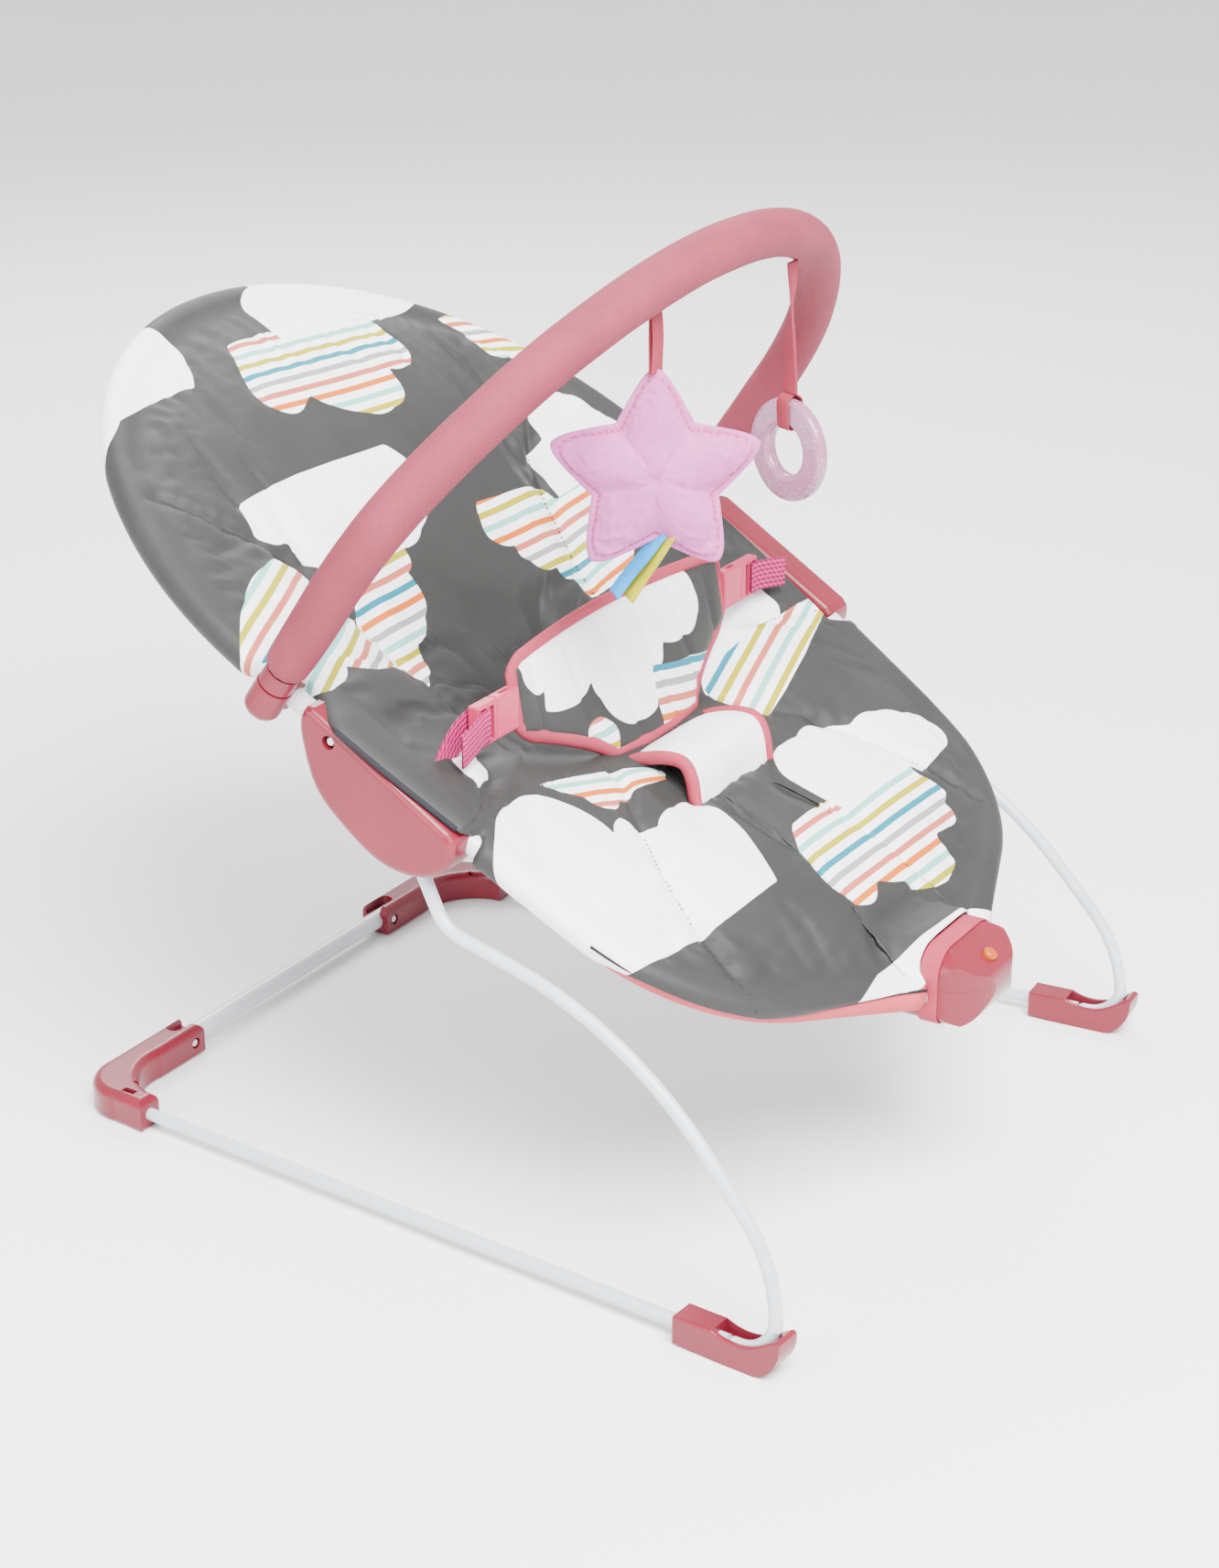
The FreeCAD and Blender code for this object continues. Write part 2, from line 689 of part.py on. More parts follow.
def toy_clip():
    """Snap clip: a split ring on the head tube that carries the cup for the toy bar."""
    cup_low = cup_top_t - cup_length
    bottom = bar_point(cup_half_width, cup_low)
    cup = cylinder(cup_d / 2, bottom, bar_point(cup_half_width, cup_top_t))
    rim = [e for e in cup.Edges if (e.BoundBox.Center - bottom).Length < 0.1]
    cup = cup.makeFillet(6.0, rim)
    centre = seat_point(head_half_width(clip_s), clip_s)
    step = seat_point(head_half_width(clip_s + 8), clip_s + 8) - centre
    ring_r = seat_tube_r + rod_fit + 2.8
    ring = cylinder(ring_r, centre - step, centre + step)
    arm = cylinder(6.0, centre, bar_point(cup_half_width, cup_low + 8))
    body = cup.fuse(ring).fuse(arm)
    body = body.cut(cylinder(seat_tube_r + rod_fit, centre - step * 6, centre + step * 6))
    peg_room = bar_point(cup_half_width, cup_top_t - peg_depth - 1.0)
    body = body.cut(cylinder(cup_bore_d / 2, peg_room, bar_point(cup_half_width, cup_top_t + 5)))
    # the ring is open on its inner side so that it snaps over the tube
    mouth = box((-60, -4.2, -30), (0, 4.2, 30))
    mouth.rotate(V(0, 0, 0), V(1, 0, 0), seat_slope + 90)
    mouth.translate(centre)
    return one_solid(body.cut(mouth))


# ---------------------------------------------------------------- toys
def arch_tangent(x):
    """Direction of the arch's centre line where it passes x, on the crown arc."""
    lean = x / arch_top_r()
    return V(sqrt(1 - lean ** 2), 0, 0) - bar_up * lean


def strap_top_point(x):
    """Underside of the bar's sleeve where a toy strap leaves it."""
    centre = bar_point(x, arch_height(x))
    drop = (bar_sleeve_d / 2 + 2 * soft_gap) / sqrt(1 - arch_tangent(x).z ** 2)
    return V(x, centre.y, centre.z - drop)


def turned(angle):
    return V(cos(radians(angle)), sin(radians(angle)), 0)


def hanging_strap(top, bottom_z):
    """A flat strap that hangs straight down, its top edge shaped to the sleeve above."""
    half = toy_strap_w / 2
    front, back = top.y - toy_strap_t / 2, top.y + toy_strap_t / 2
    strap = box((top.x - half, front, bottom_z), (top.x + half, back, top.z + 6))
    along_bar = arch_tangent(top.x)
    strap.rotate(top, V(0, 0, 1), degrees(atan2(along_bar.y, along_bar.x)))
    middle = bar_point(top.x, arch_height(top.x))
    reach = along_bar * 20
    return one_solid(strap.cut(cylinder(bar_sleeve_d / 2 + 2 * soft_gap, middle - reach, middle + reach)))


def star_strap():
    top = strap_top_point(star_x)
    return hanging_strap(top, star_centre_z + star_r * 0.93 + soft_gap)


def star_plush():
    """Five-pointed star cushion, thickest in the middle."""
    top = strap_top_point(star_x)
    centre = V(star_x, top.y, star_centre_z)
    across = turned(star_turn)
    face = across.cross(V(0, 0, 1))

    def ring(scale, lift):
        points = []
        for i in range(10):
            radius = star_r * scale * (0.93 if i % 2 == 0 else star_inner_share)
            a = radians(90 + 36 * i)
            points.append(centre + across * (radius * cos(a)) + V(0, 0, radius * sin(a)) + face * lift)
        return Part.makePolygon(points + [points[0]])

    half = star_thickness / 2
    return Part.makeLoft([ring(0.62, -half), ring(1.0, -1.5), ring(1.0, 1.5), ring(0.62, half)], True, True)


def star_ribbons():
    """Two short ribbons sewn in under the star, side by side."""
    top = strap_top_point(star_x)
    across = turned(star_turn)
    face = across.cross(V(0, 0, 1))
    start_z = star_centre_z - star_r * star_inner_share - 5.3
    ribbons = []
    for shift, slant in ((3.0, -0.75), (11.0, -0.5)):
        along = (across * slant + V(0, 0, -1)).normalize()
        wide = (across + V(0, 0, slant)).normalize()
        origin = V(star_x, top.y, start_z) + across * shift + face * (shift * 0.2)
        corner = origin - wide * (ribbon_w / 2)
        outline = [corner, corner + wide * ribbon_w]
        outline += [outline[1] + along * ribbon_l, outline[0] + along * ribbon_l]
        ribbons.append(slab(outline, face * 0.8))
    return ribbons


def teether_strap():
    top = strap_top_point(teether_x)
    half = toy_strap_w / 2 - 1
    loop_z = ring_centre_z + sqrt(ring_hole_d ** 2 / 4 - half ** 2)
    across = turned(ring_turn + 90)
    web = ring_thickness / 2 + soft_gap
    thick = turned(ring_turn)
    straight = hanging_strap(top, ring_centre_z + ring_d / 2 + soft_gap + 3)
    parts = [straight]
    mid = V(teether_x, top.y, 0)
    top_z = ring_centre_z + ring_d / 2 + soft_gap + toy_strap_t
    low_z = loop_z - soft_gap - toy_strap_t
    for side in (-1, 1):
        base = mid + thick * (side * (web + toy_strap_t / 2)) - thick * (toy_strap_t / 2)
        outline = [base - across * half + V(0, 0, low_z), base + across * half + V(0, 0, low_z)]
        outline += [base + across * half + V(0, 0, top_z), base - across * half + V(0, 0, top_z)]
        parts.append(slab(outline, thick * toy_strap_t))
    for z in (low_z, top_z):
        base = mid - thick * (web + toy_strap_t) + V(0, 0, z)
        outline = [base - across * half, base + across * half]
        outline += [outline[1] + thick * (2 * web + 2 * toy_strap_t), outline[0] + thick * (2 * web + 2 * toy_strap_t)]
        parts.append(slab(outline, V(0, 0, toy_strap_t if z == low_z else 3.2)))
    return one_solid(fused(parts))


def teether_ring():
    top = strap_top_point(teether_x)
    centre = V(teether_x, top.y, ring_centre_z)
    axis = turned(ring_turn)
    start = centre - axis * (ring_thickness / 2)
    end = centre + axis * (ring_thickness / 2)
    ring = cylinder(ring_d / 2, start, end).cut(cylinder(ring_hole_d / 2, start, end))
    round_edges = [e for e in ring.Edges if e.Length > 50 and e.Closed]
    return ring.makeFillet(3.4, round_edges)


# ---------------------------------------------------------------- vibration unit
battery_centre = V(0, unit_rear_y - 11.5, unit_bottom_z + 11.0)
motor_centre = V(0, -251.0, 154.5)
weight_r = 7.5
weight_l = 8.0
slope_top = (-262.0, unit_top_z)
slope_low = (-285.0, 152.5)
unit_case_gap = 0.05


def unit_profile(inset):
    """Side view of the unit, seen along X: a blunt nose with a flat slope for the button."""
    back, front = unit_rear_y - inset, unit_front_y + inset
    low, high = unit_bottom_z + inset, unit_top_z - inset
    top = V(-60, slope_top[0] + inset * 0.4, high)
    nose = V(-60, slope_low[0] + inset * 0.8, slope_low[1] - inset * 0.6)
    edges = [
        Part.makeLine(V(-60, back, low + 3), V(-60, back, high - 8)),
        Part.Arc(V(-60, back, high - 8), V(-60, back - 4, high - 2.6), V(-60, back - 12, high)).toShape(),
        Part.makeLine(V(-60, back - 12, high), top),
        Part.makeLine(top, nose),
        Part.Arc(nose, V(-60, front, unit_split_z - 3), V(-60, front + 3.6, low + 9)).toShape(),
        Part.Arc(V(-60, front + 3.6, low + 9), V(-60, front + 8, low + 3.2), V(-60, front + 15, low)).toShape(),
        Part.makeLine(V(-60, front + 15, low), V(-60, back - 5, low)),
        Part.makeLine(V(-60, back - 5, low), V(-60, back, low + 3)),
    ]
    return Part.Face(Part.Wire(edges)).extrude(V(120, 0, 0))


def unit_front_view(inset):
    """Front view of the unit, seen along Y: well rounded at the top, less so below."""
    w = unit_half_width - inset
    low, high = unit_bottom_z + inset, unit_top_z - inset
    top_r, low_r = unit_top_r - inset, unit_low_r - inset
    half = sqrt(0.5)
    edges = []
    for side in (-1, 1):
        x = side * w
        over = V(side * (w - top_r + top_r * half), 0, high - top_r + top_r * half)
        under = V(side * (w - low_r + low_r * half), 0, low + low_r - low_r * half)
        edges.append(Part.makeLine(V(x, 0, low + low_r), V(x, 0, high - top_r)))
        edges.append(Part.Arc(V(x, 0, high - top_r), over, V(x - side * top_r, 0, high)).toShape())
        edges.append(Part.Arc(V(x, 0, low + low_r), under, V(x - side * low_r, 0, low)).toShape())
    edges.append(Part.makeLine(V(top_r - w, 0, high), V(w - top_r, 0, high)))
    edges.append(Part.makeLine(V(low_r - w, 0, low), V(w - low_r, 0, low)))
    outline = Part.Wire(Part.__sortEdges__(edges))
    outline.translate(V(0, -400, 0))
    return Part.Face(outline).extrude(V(0, 300, 0))


def unit_plan(inset):
    """Top view of the unit: square at the back, rounded in front."""
    w = unit_half_width - inset
    back = unit_rear_y - inset
    front = unit_front_y + inset
    turn_y = unit_front_y + 30
    edges = [
        Part.makeLine(V(-w, back, 0), V(-w, turn_y, 0)),
        Part.Arc(V(-w, turn_y, 0), V(-w * 0.74, front + 8.5, 0), V(0, front, 0)).toShape(),
        Part.Arc(V(0, front, 0), V(w * 0.74, front + 8.5, 0), V(w, turn_y, 0)).toShape(),
        Part.makeLine(V(w, turn_y, 0), V(w, back, 0)),
        Part.makeLine(V(w, back, 0), V(-w, back, 0)),
    ]
    return Part.Face(Part.Wire(edges)).extrude(V(0, 0, 300))


def unit_solid(inset=0.0):
    return unit_profile(inset).common(unit_plan(inset)).common(unit_front_view(inset))


def unit_layer(low_z, high_z):
    return box((-80, unit_front_y - 20, low_z), (80, unit_rear_y + 20, high_z))


case_screw_places = [(-26.5, -267.5), (26.5, -267.5)]
door_low, door_high = (-29.5, -249.0), (29.5, -225.5)
door_screw_y = -245.2
door_t = 2.0


def tube_passage():
    return swept(foot_tube_path(), seat_tube_r + rod_fit)


def tube_saddle():
    """Block round the foot tube, shared between the two shells."""
    return swept(foot_tube_path(), seat_tube_r + 2.6).common(unit_solid(0.5))


def case_posts():
    posts = []
    for x, y in case_screw_places:
        posts.append(cylinder(3.6, V(x, y, unit_bottom_z - 5), V(x, y, unit_top_z + 5)))
    return fused(posts).common(unit_solid(0.5))


def button_axis():
    along = V(0, slope_top[0] - slope_low[0], slope_top[1] - slope_low[1]).normalize()
    return V(0, -along.z, along.y)


button_centre = V(0, slope_top[0] * 0.35 + slope_low[0] * 0.65, slope_top[1] * 0.35 + slope_low[1] * 0.65)


board_half = 10.0
board_depth = power_button_travel + 9.5


def board_posts():
    axis = button_axis()
    posts = []
    for side in (-1, 1):
        foot = button_centre + V(side * (board_half - 1.8), 0, 0) - axis * (board_depth - 1.25)
        posts.append(cylinder(1.6, foot, foot + axis * board_depth))
    return fused(posts).common(unit_solid(0.5))


def motor_cradle():
    low = V(-motor_l / 2 - 2, motor_centre.y - 10.2, unit_split_z)
    high = V(motor_l / 2 + 2, motor_centre.y + 10.2, motor_centre.z)
    cradle = box(low, high)
    room = cylinder(motor_d / 2 + face_gap, motor_centre - V(60, 0, 0), motor_centre + V(60, 0, 0))
    return cradle.cut(room)


def case_shell(low_z, high_z):
    shell = unit_solid().cut(unit_solid(unit_wall)).fuse(tube_saddle()).fuse(case_posts())
    return shell.common(unit_layer(low_z, high_z)).cut(tube_passage())


def unit_case_top():
    shell = case_shell(unit_split_z + unit_case_gap, unit_top_z + 5).fuse(board_posts())
    axis = button_axis()
    shell = shell.cut(cylinder(power_button_d / 2 + slide_gap, button_centre - axis * 12, button_centre + axis * 12))
    room = cylinder(motor_d / 2 + face_gap, motor_centre - V(25, 0, 0), motor_centre + V(25, 0, 0))
    weight_room = cylinder(weight_r + 0.8, motor_centre + V(motor_l / 2, 0, 0), motor_centre + V(motor_l / 2 + 14, 0, 0))
    shell = shell.cut(room).cut(weight_room)
    # two ribs hold the motor from above
    for x in (-motor_l / 2 + 3, motor_l / 2 - 5):
        rib = box((x, motor_centre.y - 8, motor_centre.z + 3), (x + 2, motor_centre.y + 8, unit_top_z))
        rib = rib.common(unit_solid(0.5)).cut(room)
        shell = shell.fuse(rib)
    for x, y in case_screw_places:
        shell = shell.cut(cylinder(1.25, V(x, y, unit_split_z - 1), V(x, y, unit_split_z + 14)))
    return one_solid(shell.removeSplitter())


def unit_case_bottom():
    shell = case_shell(unit_bottom_z - 5, unit_split_z - unit_case_gap)
    # battery cradle ribs
    for x in (-18.0, 16.0):
        rib = box((x, battery_centre.y - 8, unit_bottom_z + 1), (x + 2, battery_centre.y + 8, battery_centre.z - 1))
        rib = rib.common(unit_solid(0.5))
        shell = shell.fuse(rib)
    cell = cylinder(battery_d / 2 + slide_gap, battery_centre - V(29.5, 0, 0), battery_centre + V(29.5, 0, 0))
    shell = shell.cut(cell)
    # battery opening in the floor, with a step that the door lies in
    boss_low = (-12, door_low[1] - 2, unit_bottom_z + door_t)
    shell = shell.fuse(box(boss_low, (12, door_screw_y + 3.2, unit_bottom_z + door_t + 4.5)).cut(tube_passage()))
    low = (door_low[0] - slide_gap, door_low[1] - slide_gap, unit_bottom_z - 5)
    high = (door_high[0] + slide_gap, door_high[1] + slide_gap, unit_bottom_z + door_t + face_gap)
    shell = shell.cut(box(low, high))
    shell = shell.cut(cylinder(1.3, V(0, door_screw_y, 100), V(0, door_screw_y, unit_bottom_z + 8)))
    for x, y in case_screw_places:
        shell = shell.cut(cylinder(1.5, V(x, y, unit_bottom_z - 5), V(x, y, unit_split_z + 1)))
        shell = shell.cut(cylinder(2.9, V(x, y, unit_bottom_z - 5), V(x, y, unit_bottom_z + 5)))
    return one_solid(shell.removeSplitter())



def battery_door():
    plate = box((door_low[0], door_low[1], unit_bottom_z), (door_high[0], door_high[1], unit_bottom_z + door_t))
    plate = plate.common(unit_solid())
    screw_at = V(0, door_screw_y, unit_bottom_z - 1)
    return one_solid(plate.cut(cylinder(1.25, screw_at, screw_at + V(0, 0, 5))))


def door_screw():
    y = door_screw_y
    return screw(V(0, y, unit_bottom_z - 1.6), V(0, y, unit_bottom_z + 5.2), 1.2, 2.4, 1.55)


def unit_case_screws():
    screws = []
    for x, y in case_screw_places:
        top = V(x, y, unit_bottom_z + 2.6)
        screws.append(screw(top, V(x, y, unit_split_z + 10), 1.2, 2.6, 2.0))
    return screws


def battery():
    half = battery_l / 2
    can = cylinder(battery_d / 2, battery_centre - V(half, 0, 0), battery_centre + V(half - 1.2, 0, 0))
    tip = cylinder(2.7, battery_centre + V(half - 1.2, 0, 0), battery_centre + V(half, 0, 0))
    return can.fuse(tip)


def battery_plate():
    x = battery_l / 2 + face_gap
    low = battery_centre + V(x, -5.5, -5.5)
    return box(low, low + V(0.6, 11, 11))


def battery_spring():
    """Coiled end contact, drawn as a short stack of rings on its back plate."""
    x = -battery_l / 2 - face_gap
    low = battery_centre + V(x - 3.0, -5.5, -5.5)
    parts = [box(low, low + V(0.5, 11, 11))]
    for i in range(3):
        start = battery_centre + V(x - 2.5 + 0.8333 * i, 0, 0)
        outer = 5.0 - i
        parts.append(cylinder(outer, start, start + V(0.8334, 0, 0)).cut(cylinder(outer - 2, start, start + V(0.8334, 0, 0))))
    return one_solid(fused(parts))


def motor():
    half = motor_l / 2
    can = cylinder(motor_d / 2, motor_centre - V(half, 0, 0), motor_centre + V(half, 0, 0))
    boss = cylinder(3.0, motor_centre + V(half, 0, 0), motor_centre + V(half + 1.2, 0, 0))
    shaft = cylinder(motor_shaft_d / 2, motor_centre, motor_centre + V(half + 10.5, 0, 0))
    return can.fuse(boss).fuse(shaft)


def eccentric_weight():
    start = motor_centre + V(motor_l / 2 + 1.6, 0, 0)
    end = start + V(weight_l, 0, 0)
    disc = cylinder(weight_r, start, end)
    upper = box((start.x - 1, start.y - 20, start.z + 2.6), (end.x + 1, start.y + 20, start.z + 30))
    hub = cylinder(3.2, start, end)
    return disc.cut(upper).fuse(hub).cut(cylinder(motor_shaft_d / 2 + 0.05, start, end))


def switch_board():
    """Small board under the power button, with its push switch."""
    axis = button_axis()
    along = V(0, axis.z, -axis.y)
    centre = button_centre - axis * board_depth
    corner = centre - V(board_half, 0, 0) - along * 5.0
    outline = [corner, corner + V(2 * board_half, 0, 0)]
    outline += [outline[1] + along * 10.0, corner + along * 10.0]
    board = slab(outline, axis * 1.2)
    switch = cylinder(2.2, centre + axis * 1.2, centre + axis * 3.4)
    return board.fuse(switch)


def power_button():
    axis = button_axis()
    top = button_centre + axis * 3.6
    pin = cylinder(power_button_d / 2, button_centre - axis * 3.2, top)
    crown = [e for e in pin.Edges if (e.BoundBox.Center - top).Length < 0.1]
    pin = pin.makeFillet(2.4, crown)
    flange = cylinder(power_button_d / 2 + 1.2, button_centre - axis * 3.9, button_centre - axis * 2.7)
    return pin.fuse(flange)


# ---------------------------------------------------------------- soft parts
def dish_depth(s):
    for (s1, d1), (s0, d0) in zip(dish_depths, dish_depths[1:]):
        if s0 <= s <= s1:
            return d0 + (d1 - d0) * (s - s0) / (s1 - s0)
    return dish_depths[-1][1]


def cushion_top(x, y):
    """Height of the cushion's upper face at a place in plan."""
    s = y / cos(radians(seat_slope))
    for _ in range(8):
        share = min(abs(x) / cushion_half(s), 1.0)
        h = pad_edge_h - dish_depth(s) * (1 - share ** 2) ** 1.5
        s += (y - seat_point(x, s, h).y) / cos(radians(seat_slope))
    return seat_point(x, s, h).z


def cushion_section(s, half):
    """Closed cross-section of the hung cushion at s, half wide each side."""
    depth = dish_depth(s)
    shares = [-1, -0.8, -0.55, -0.28, 0, 0.28, 0.55, 0.8, 1]
    top = []
    for share in shares:
        sag = depth * (1 - share ** 2) ** 1.5
        top.append(seat_point(half * share, s, pad_edge_h - sag))
    down = (seat_point(0, 0, 0) - seat_point(0, 0, 1)) * pad_thickness
    points = top + [p + down for p in reversed(top)]
    return Part.makePolygon(points + [points[0]])


def back_cushion():
    inset = hem_reach
    sections = []
    for angle in (86, 76, 64, 50, 34, 16, 0):
        s = head_centre_s + (head_r - inset) * sin(radians(angle))
        sections.append(cushion_section(s, (head_r - inset) * cos(radians(angle))))
    for s in (62, 56, 25, 0, -24, cushion_split_s):
        sections.append(cushion_section(s, cushion_half(s)))
    parts = [Part.makeLoft(pair_, True, True) for pair_ in zip_sections(sections)]
    return one_solid(fused(parts))


hem_reach = seat_tube_r + 2 * soft_gap + hem_t + 0.5


def cushion_half(s):
    """Half width of the cushion between tubes, or between the housings."""
    inset = hem_reach
    free = head_half_width(s) if s >= 0 else foot_half_width(s)
    free -= inset
    if -75 < s < 60:
        free = min(free, housing_inner_x - 1.0)
    return free


def zip_sections(sections):
    return [[a, b] for a, b in zip(sections, sections[1:])]


def seat_cushion():
    stations = [cushion_split_s - 2 * soft_gap, -74, -76, -112, -150, -180, -205, -225, -240, cushion_end_s]
    sections = []
    for s in stations:
        half = cushion_half(s)
        if s < -140:
            half = foot_curve_half(s, hem_reach)
        sections.append(cushion_section(s, half))
    parts = [Part.makeLoft(pair_, True, True) for pair_ in zip_sections(sections)]
    return one_solid(fused(parts))


def foot_curve_half(s, clear):
    """Half width at s that stays clear of the foot tube's centre line by a distance."""
    path = foot_tube_path()
    near, far = 0.0, foot_half_width(s)
    for _ in range(14):
        middle = (near + far) / 2
        if path.distToShape(Part.Vertex(seat_point(middle, s)))[0] > clear:
            near = middle
        else:
            far = middle
    return near


def head_hem():
    """Edge of the cover folded round the head tube."""
    path = head_tube_path()
    inner = seat_tube_r + soft_gap
    hem = swept(path, inner + hem_t).cut(swept(path, inner))
    return one_solid(hem.cut(slope_slab(-50, hem_start_s)))


def foot_hem():
    """Edge of the cover folded round the foot tube, left half."""
    path = foot_tube_path()
    inner = seat_tube_r + soft_gap
    hem = swept(path, inner + hem_t).cut(swept(path, inner))
    hem = hem.cut(slope_slab(foot_hem_start_s, 50))
    hem = hem.cut(box((-400, -400, 0), (unit_half_width + 2.5, 0, 400)))
    return one_solid(hem)


toe_strap_y = (-261.5, -249.5)
toe_strap_t = 1.2
toe_cover_t = 2.5


def toe_strap():
    """Band that holds the vibration unit to the foot tube."""
    band = unit_solid(-soft_gap - toe_strap_t).cut(unit_solid(-soft_gap))
    band = band.common(box((-80, toe_strap_y[0], 60), (80, toe_strap_y[1], 260)))
    return one_solid(band.cut(swept(foot_tube_path(), seat_tube_r + 2 * soft_gap)))


def toe_cover():
    """End of the cover, drawn over the back of the vibration unit."""
    low = seat_point(0, cushion_end_s, pad_edge_h).z - 6
    skin = unit_solid(-soft_gap - toe_cover_t).cut(unit_solid(-soft_gap))
    front_y = toe_strap_y[1] + soft_gap
    return one_solid(skin.common(box((-80, front_y, low), (80, unit_rear_y + 10, unit_top_z + 20))))


cushion_end_s = -252.0
panel_y = -16.0
panel_bow = 8.0              # panel ends come forward by this much at the top
panel_top_z = 331.0
panel_low_z = 252.0
panel_lean = 27.0            # middle of the panel leans back; its ends less
panel_end_lean = 8.0
panel_half_width = 120.0
buckle_z = 304.0


def panel_front_y(x, z=panel_top_z):
    share = (x / panel_half_width) ** 2
    lean = panel_lean + (panel_end_lean - panel_lean) * share
    return panel_y - panel_bow * share - (panel_top_z - z) * tan(radians(lean))


def restraint_panel():
    """Padded waist panel; its lower edge narrows to the crotch strap."""
    half_crotch = crotch_width / 2
    stations = [-1.0, -0.72, -0.47, -0.2, 0, 0.2, 0.47, 0.72, 1.0]
    sections = []
    for share in stations:
        x = share * panel_half_width
        top = panel_top_z - 3.0 * share ** 2
        drop = max(abs(x) - half_crotch, 0.0) / (panel_half_width - half_crotch)
        low = panel_low_z + 33.0 * drop ** 0.7
        y_low, y_top = panel_front_y(x, low), panel_front_y(x, top)
        ring = [V(x, y_low, low), V(x, y_top, top)]
        ring += [V(x, y_top + panel_thickness, top), V(x, y_low + panel_thickness, low)]
        sections.append(Part.makePolygon(ring + [ring[0]]))
    parts = [Part.makeLoft(two, True, True) for two in zip_sections(sections)]
    return one_solid(fused(parts))


crotch_line = [(-56.7, 253.0), (-74, 259.5), (-90, 261), (-98, 256), (-102, 247)]
crotch_seam_y = -103.0


def crotch_strap():
    """Padded strip from the panel forward over a hump and down to the cushion."""
    half = crotch_width / 2 - 1
    t = 7.0
    parts = []
    line = crotch_line + [(crotch_seam_y, cushion_top(half, crotch_seam_y + t) + 2 * soft_gap)]
    for (y0, z0), (y1, z1) in zip(line, line[1:]):
        run = V(0, y1 - y0, z1 - z0).normalize()
        under = V(0, run.z, -run.y) * -t
        if under.z > 0:
            under = under * -1
        outline = [V(-half, y0, z0), V(half, y0, z0), V(half, y1, z1), V(-half, y1, z1)]
        parts.append(slab(outline, under))
    return one_solid(fused(parts))


def strap_line_point(x):
    """Where the waist strap's middle line passes x, at buckle height."""
    return V(x, panel_front_y(panel_half_width, buckle_z) + 4.0, buckle_z)


socket_l = 22.0
tongue_l = 20.0
buckle_t = 8.0
buckle_release = 18.0


def buckle_socket():
    """Flat box that takes the two prongs of the tongue, sewn to the panel's end."""
    centre = strap_line_point(panel_half_width + soft_gap + socket_l / 2)
    size = V(socket_l, buckle_t, webbing_w + 6)
    outer = box(centre - size * 0.5, centre + size * 0.5)
    outer = outer.makeFillet(1.5, outer.Edges)
    room = box(centre + V(-socket_l / 2 + 4, -buckle_t / 2 + 1.6, -webbing_w / 2 - 1),
               centre + V(socket_l, buckle_t / 2 - 1.6, webbing_w / 2 + 1))
    solid = outer.cut(room)
    # side windows for the fingers
    for side in (-1, 1):
        z = centre.z + side * (webbing_w / 2 + 2)
        solid = solid.cut(box((centre.x - 4, centre.y - 1.6, z - 2), (centre.x + 5, centre.y + 1.6, z + 2)))
    return one_solid(solid)


def buckle_tongue():
    """Two prongs and a guide on a bar with webbing slots."""
    mouth = panel_half_width + soft_gap + socket_l
    centre = strap_line_point(mouth + soft_gap)
    half_t = buckle_t / 2 - 1.6 - slide_gap
    half_w = webbing_w / 2 + 1 - slide_gap
    parts = []
    for low, high in ((-half_w, -half_w + 3.2), (-1.6, 1.6), (half_w - 3.2, half_w)):
        parts.append(box(centre + V(-socket_l + 5.5, -half_t, low), centre + V(2, half_t, high)))
    frame = box(centre + V(0, -buckle_t / 2, -webbing_w / 2 - 3), centre + V(tongue_l, buckle_t / 2, webbing_w / 2 + 3))
    frame = frame.makeFillet(1.5, frame.Edges)
    for x in (4.0, 12.0):
        slot = box(centre + V(x, -buckle_t, -webbing_w / 2 - 0.5), centre + V(x + 4.5, buckle_t, webbing_w / 2 + 0.5))
        frame = frame.cut(slot)
    return one_solid(fused(parts + [frame]))


def strap_tail():
    """Free end of the webbing, woven through the tongue's slots."""
    mouth = panel_half_width + 2 * soft_gap + socket_l
    front = strap_line_point(mouth).y - buckle_t / 2 - soft_gap
    start = mouth + 9.5
    length = 34.0
    z = strap_line_point(0).z
    low = V(start, front - webbing_t, z - webbing_w / 2)
    return box(low, low + V(length, webbing_t, webbing_w))


def strap_anchor():
    """Webbing from the cushion's side seam up behind the tongue."""
    mouth = panel_half_width + 2 * soft_gap + socket_l
    back = strap_line_point(mouth).y + buckle_t / 2 + soft_gap
    z = strap_line_point(0).z
    low = V(mouth + 3, back, z - webbing_w / 2)
    upper = box(low, low + V(22, webbing_t, webbing_w))
    turn_x = mouth + 25
    seam_x = turn_x + 8
    seam = [(x, cushion_top(x, back) + soft_gap) for x in (seam_x, seam_x + 22)]
    corners = [(turn_x, z - webbing_w / 2), seam[0], seam[1], (turn_x, z + webbing_w / 2)]
    lower = slab([V(x, back, corner_z) for x, corner_z in corners], V(0, webbing_t, 0))
    return one_solid(fused([upper, lower]))


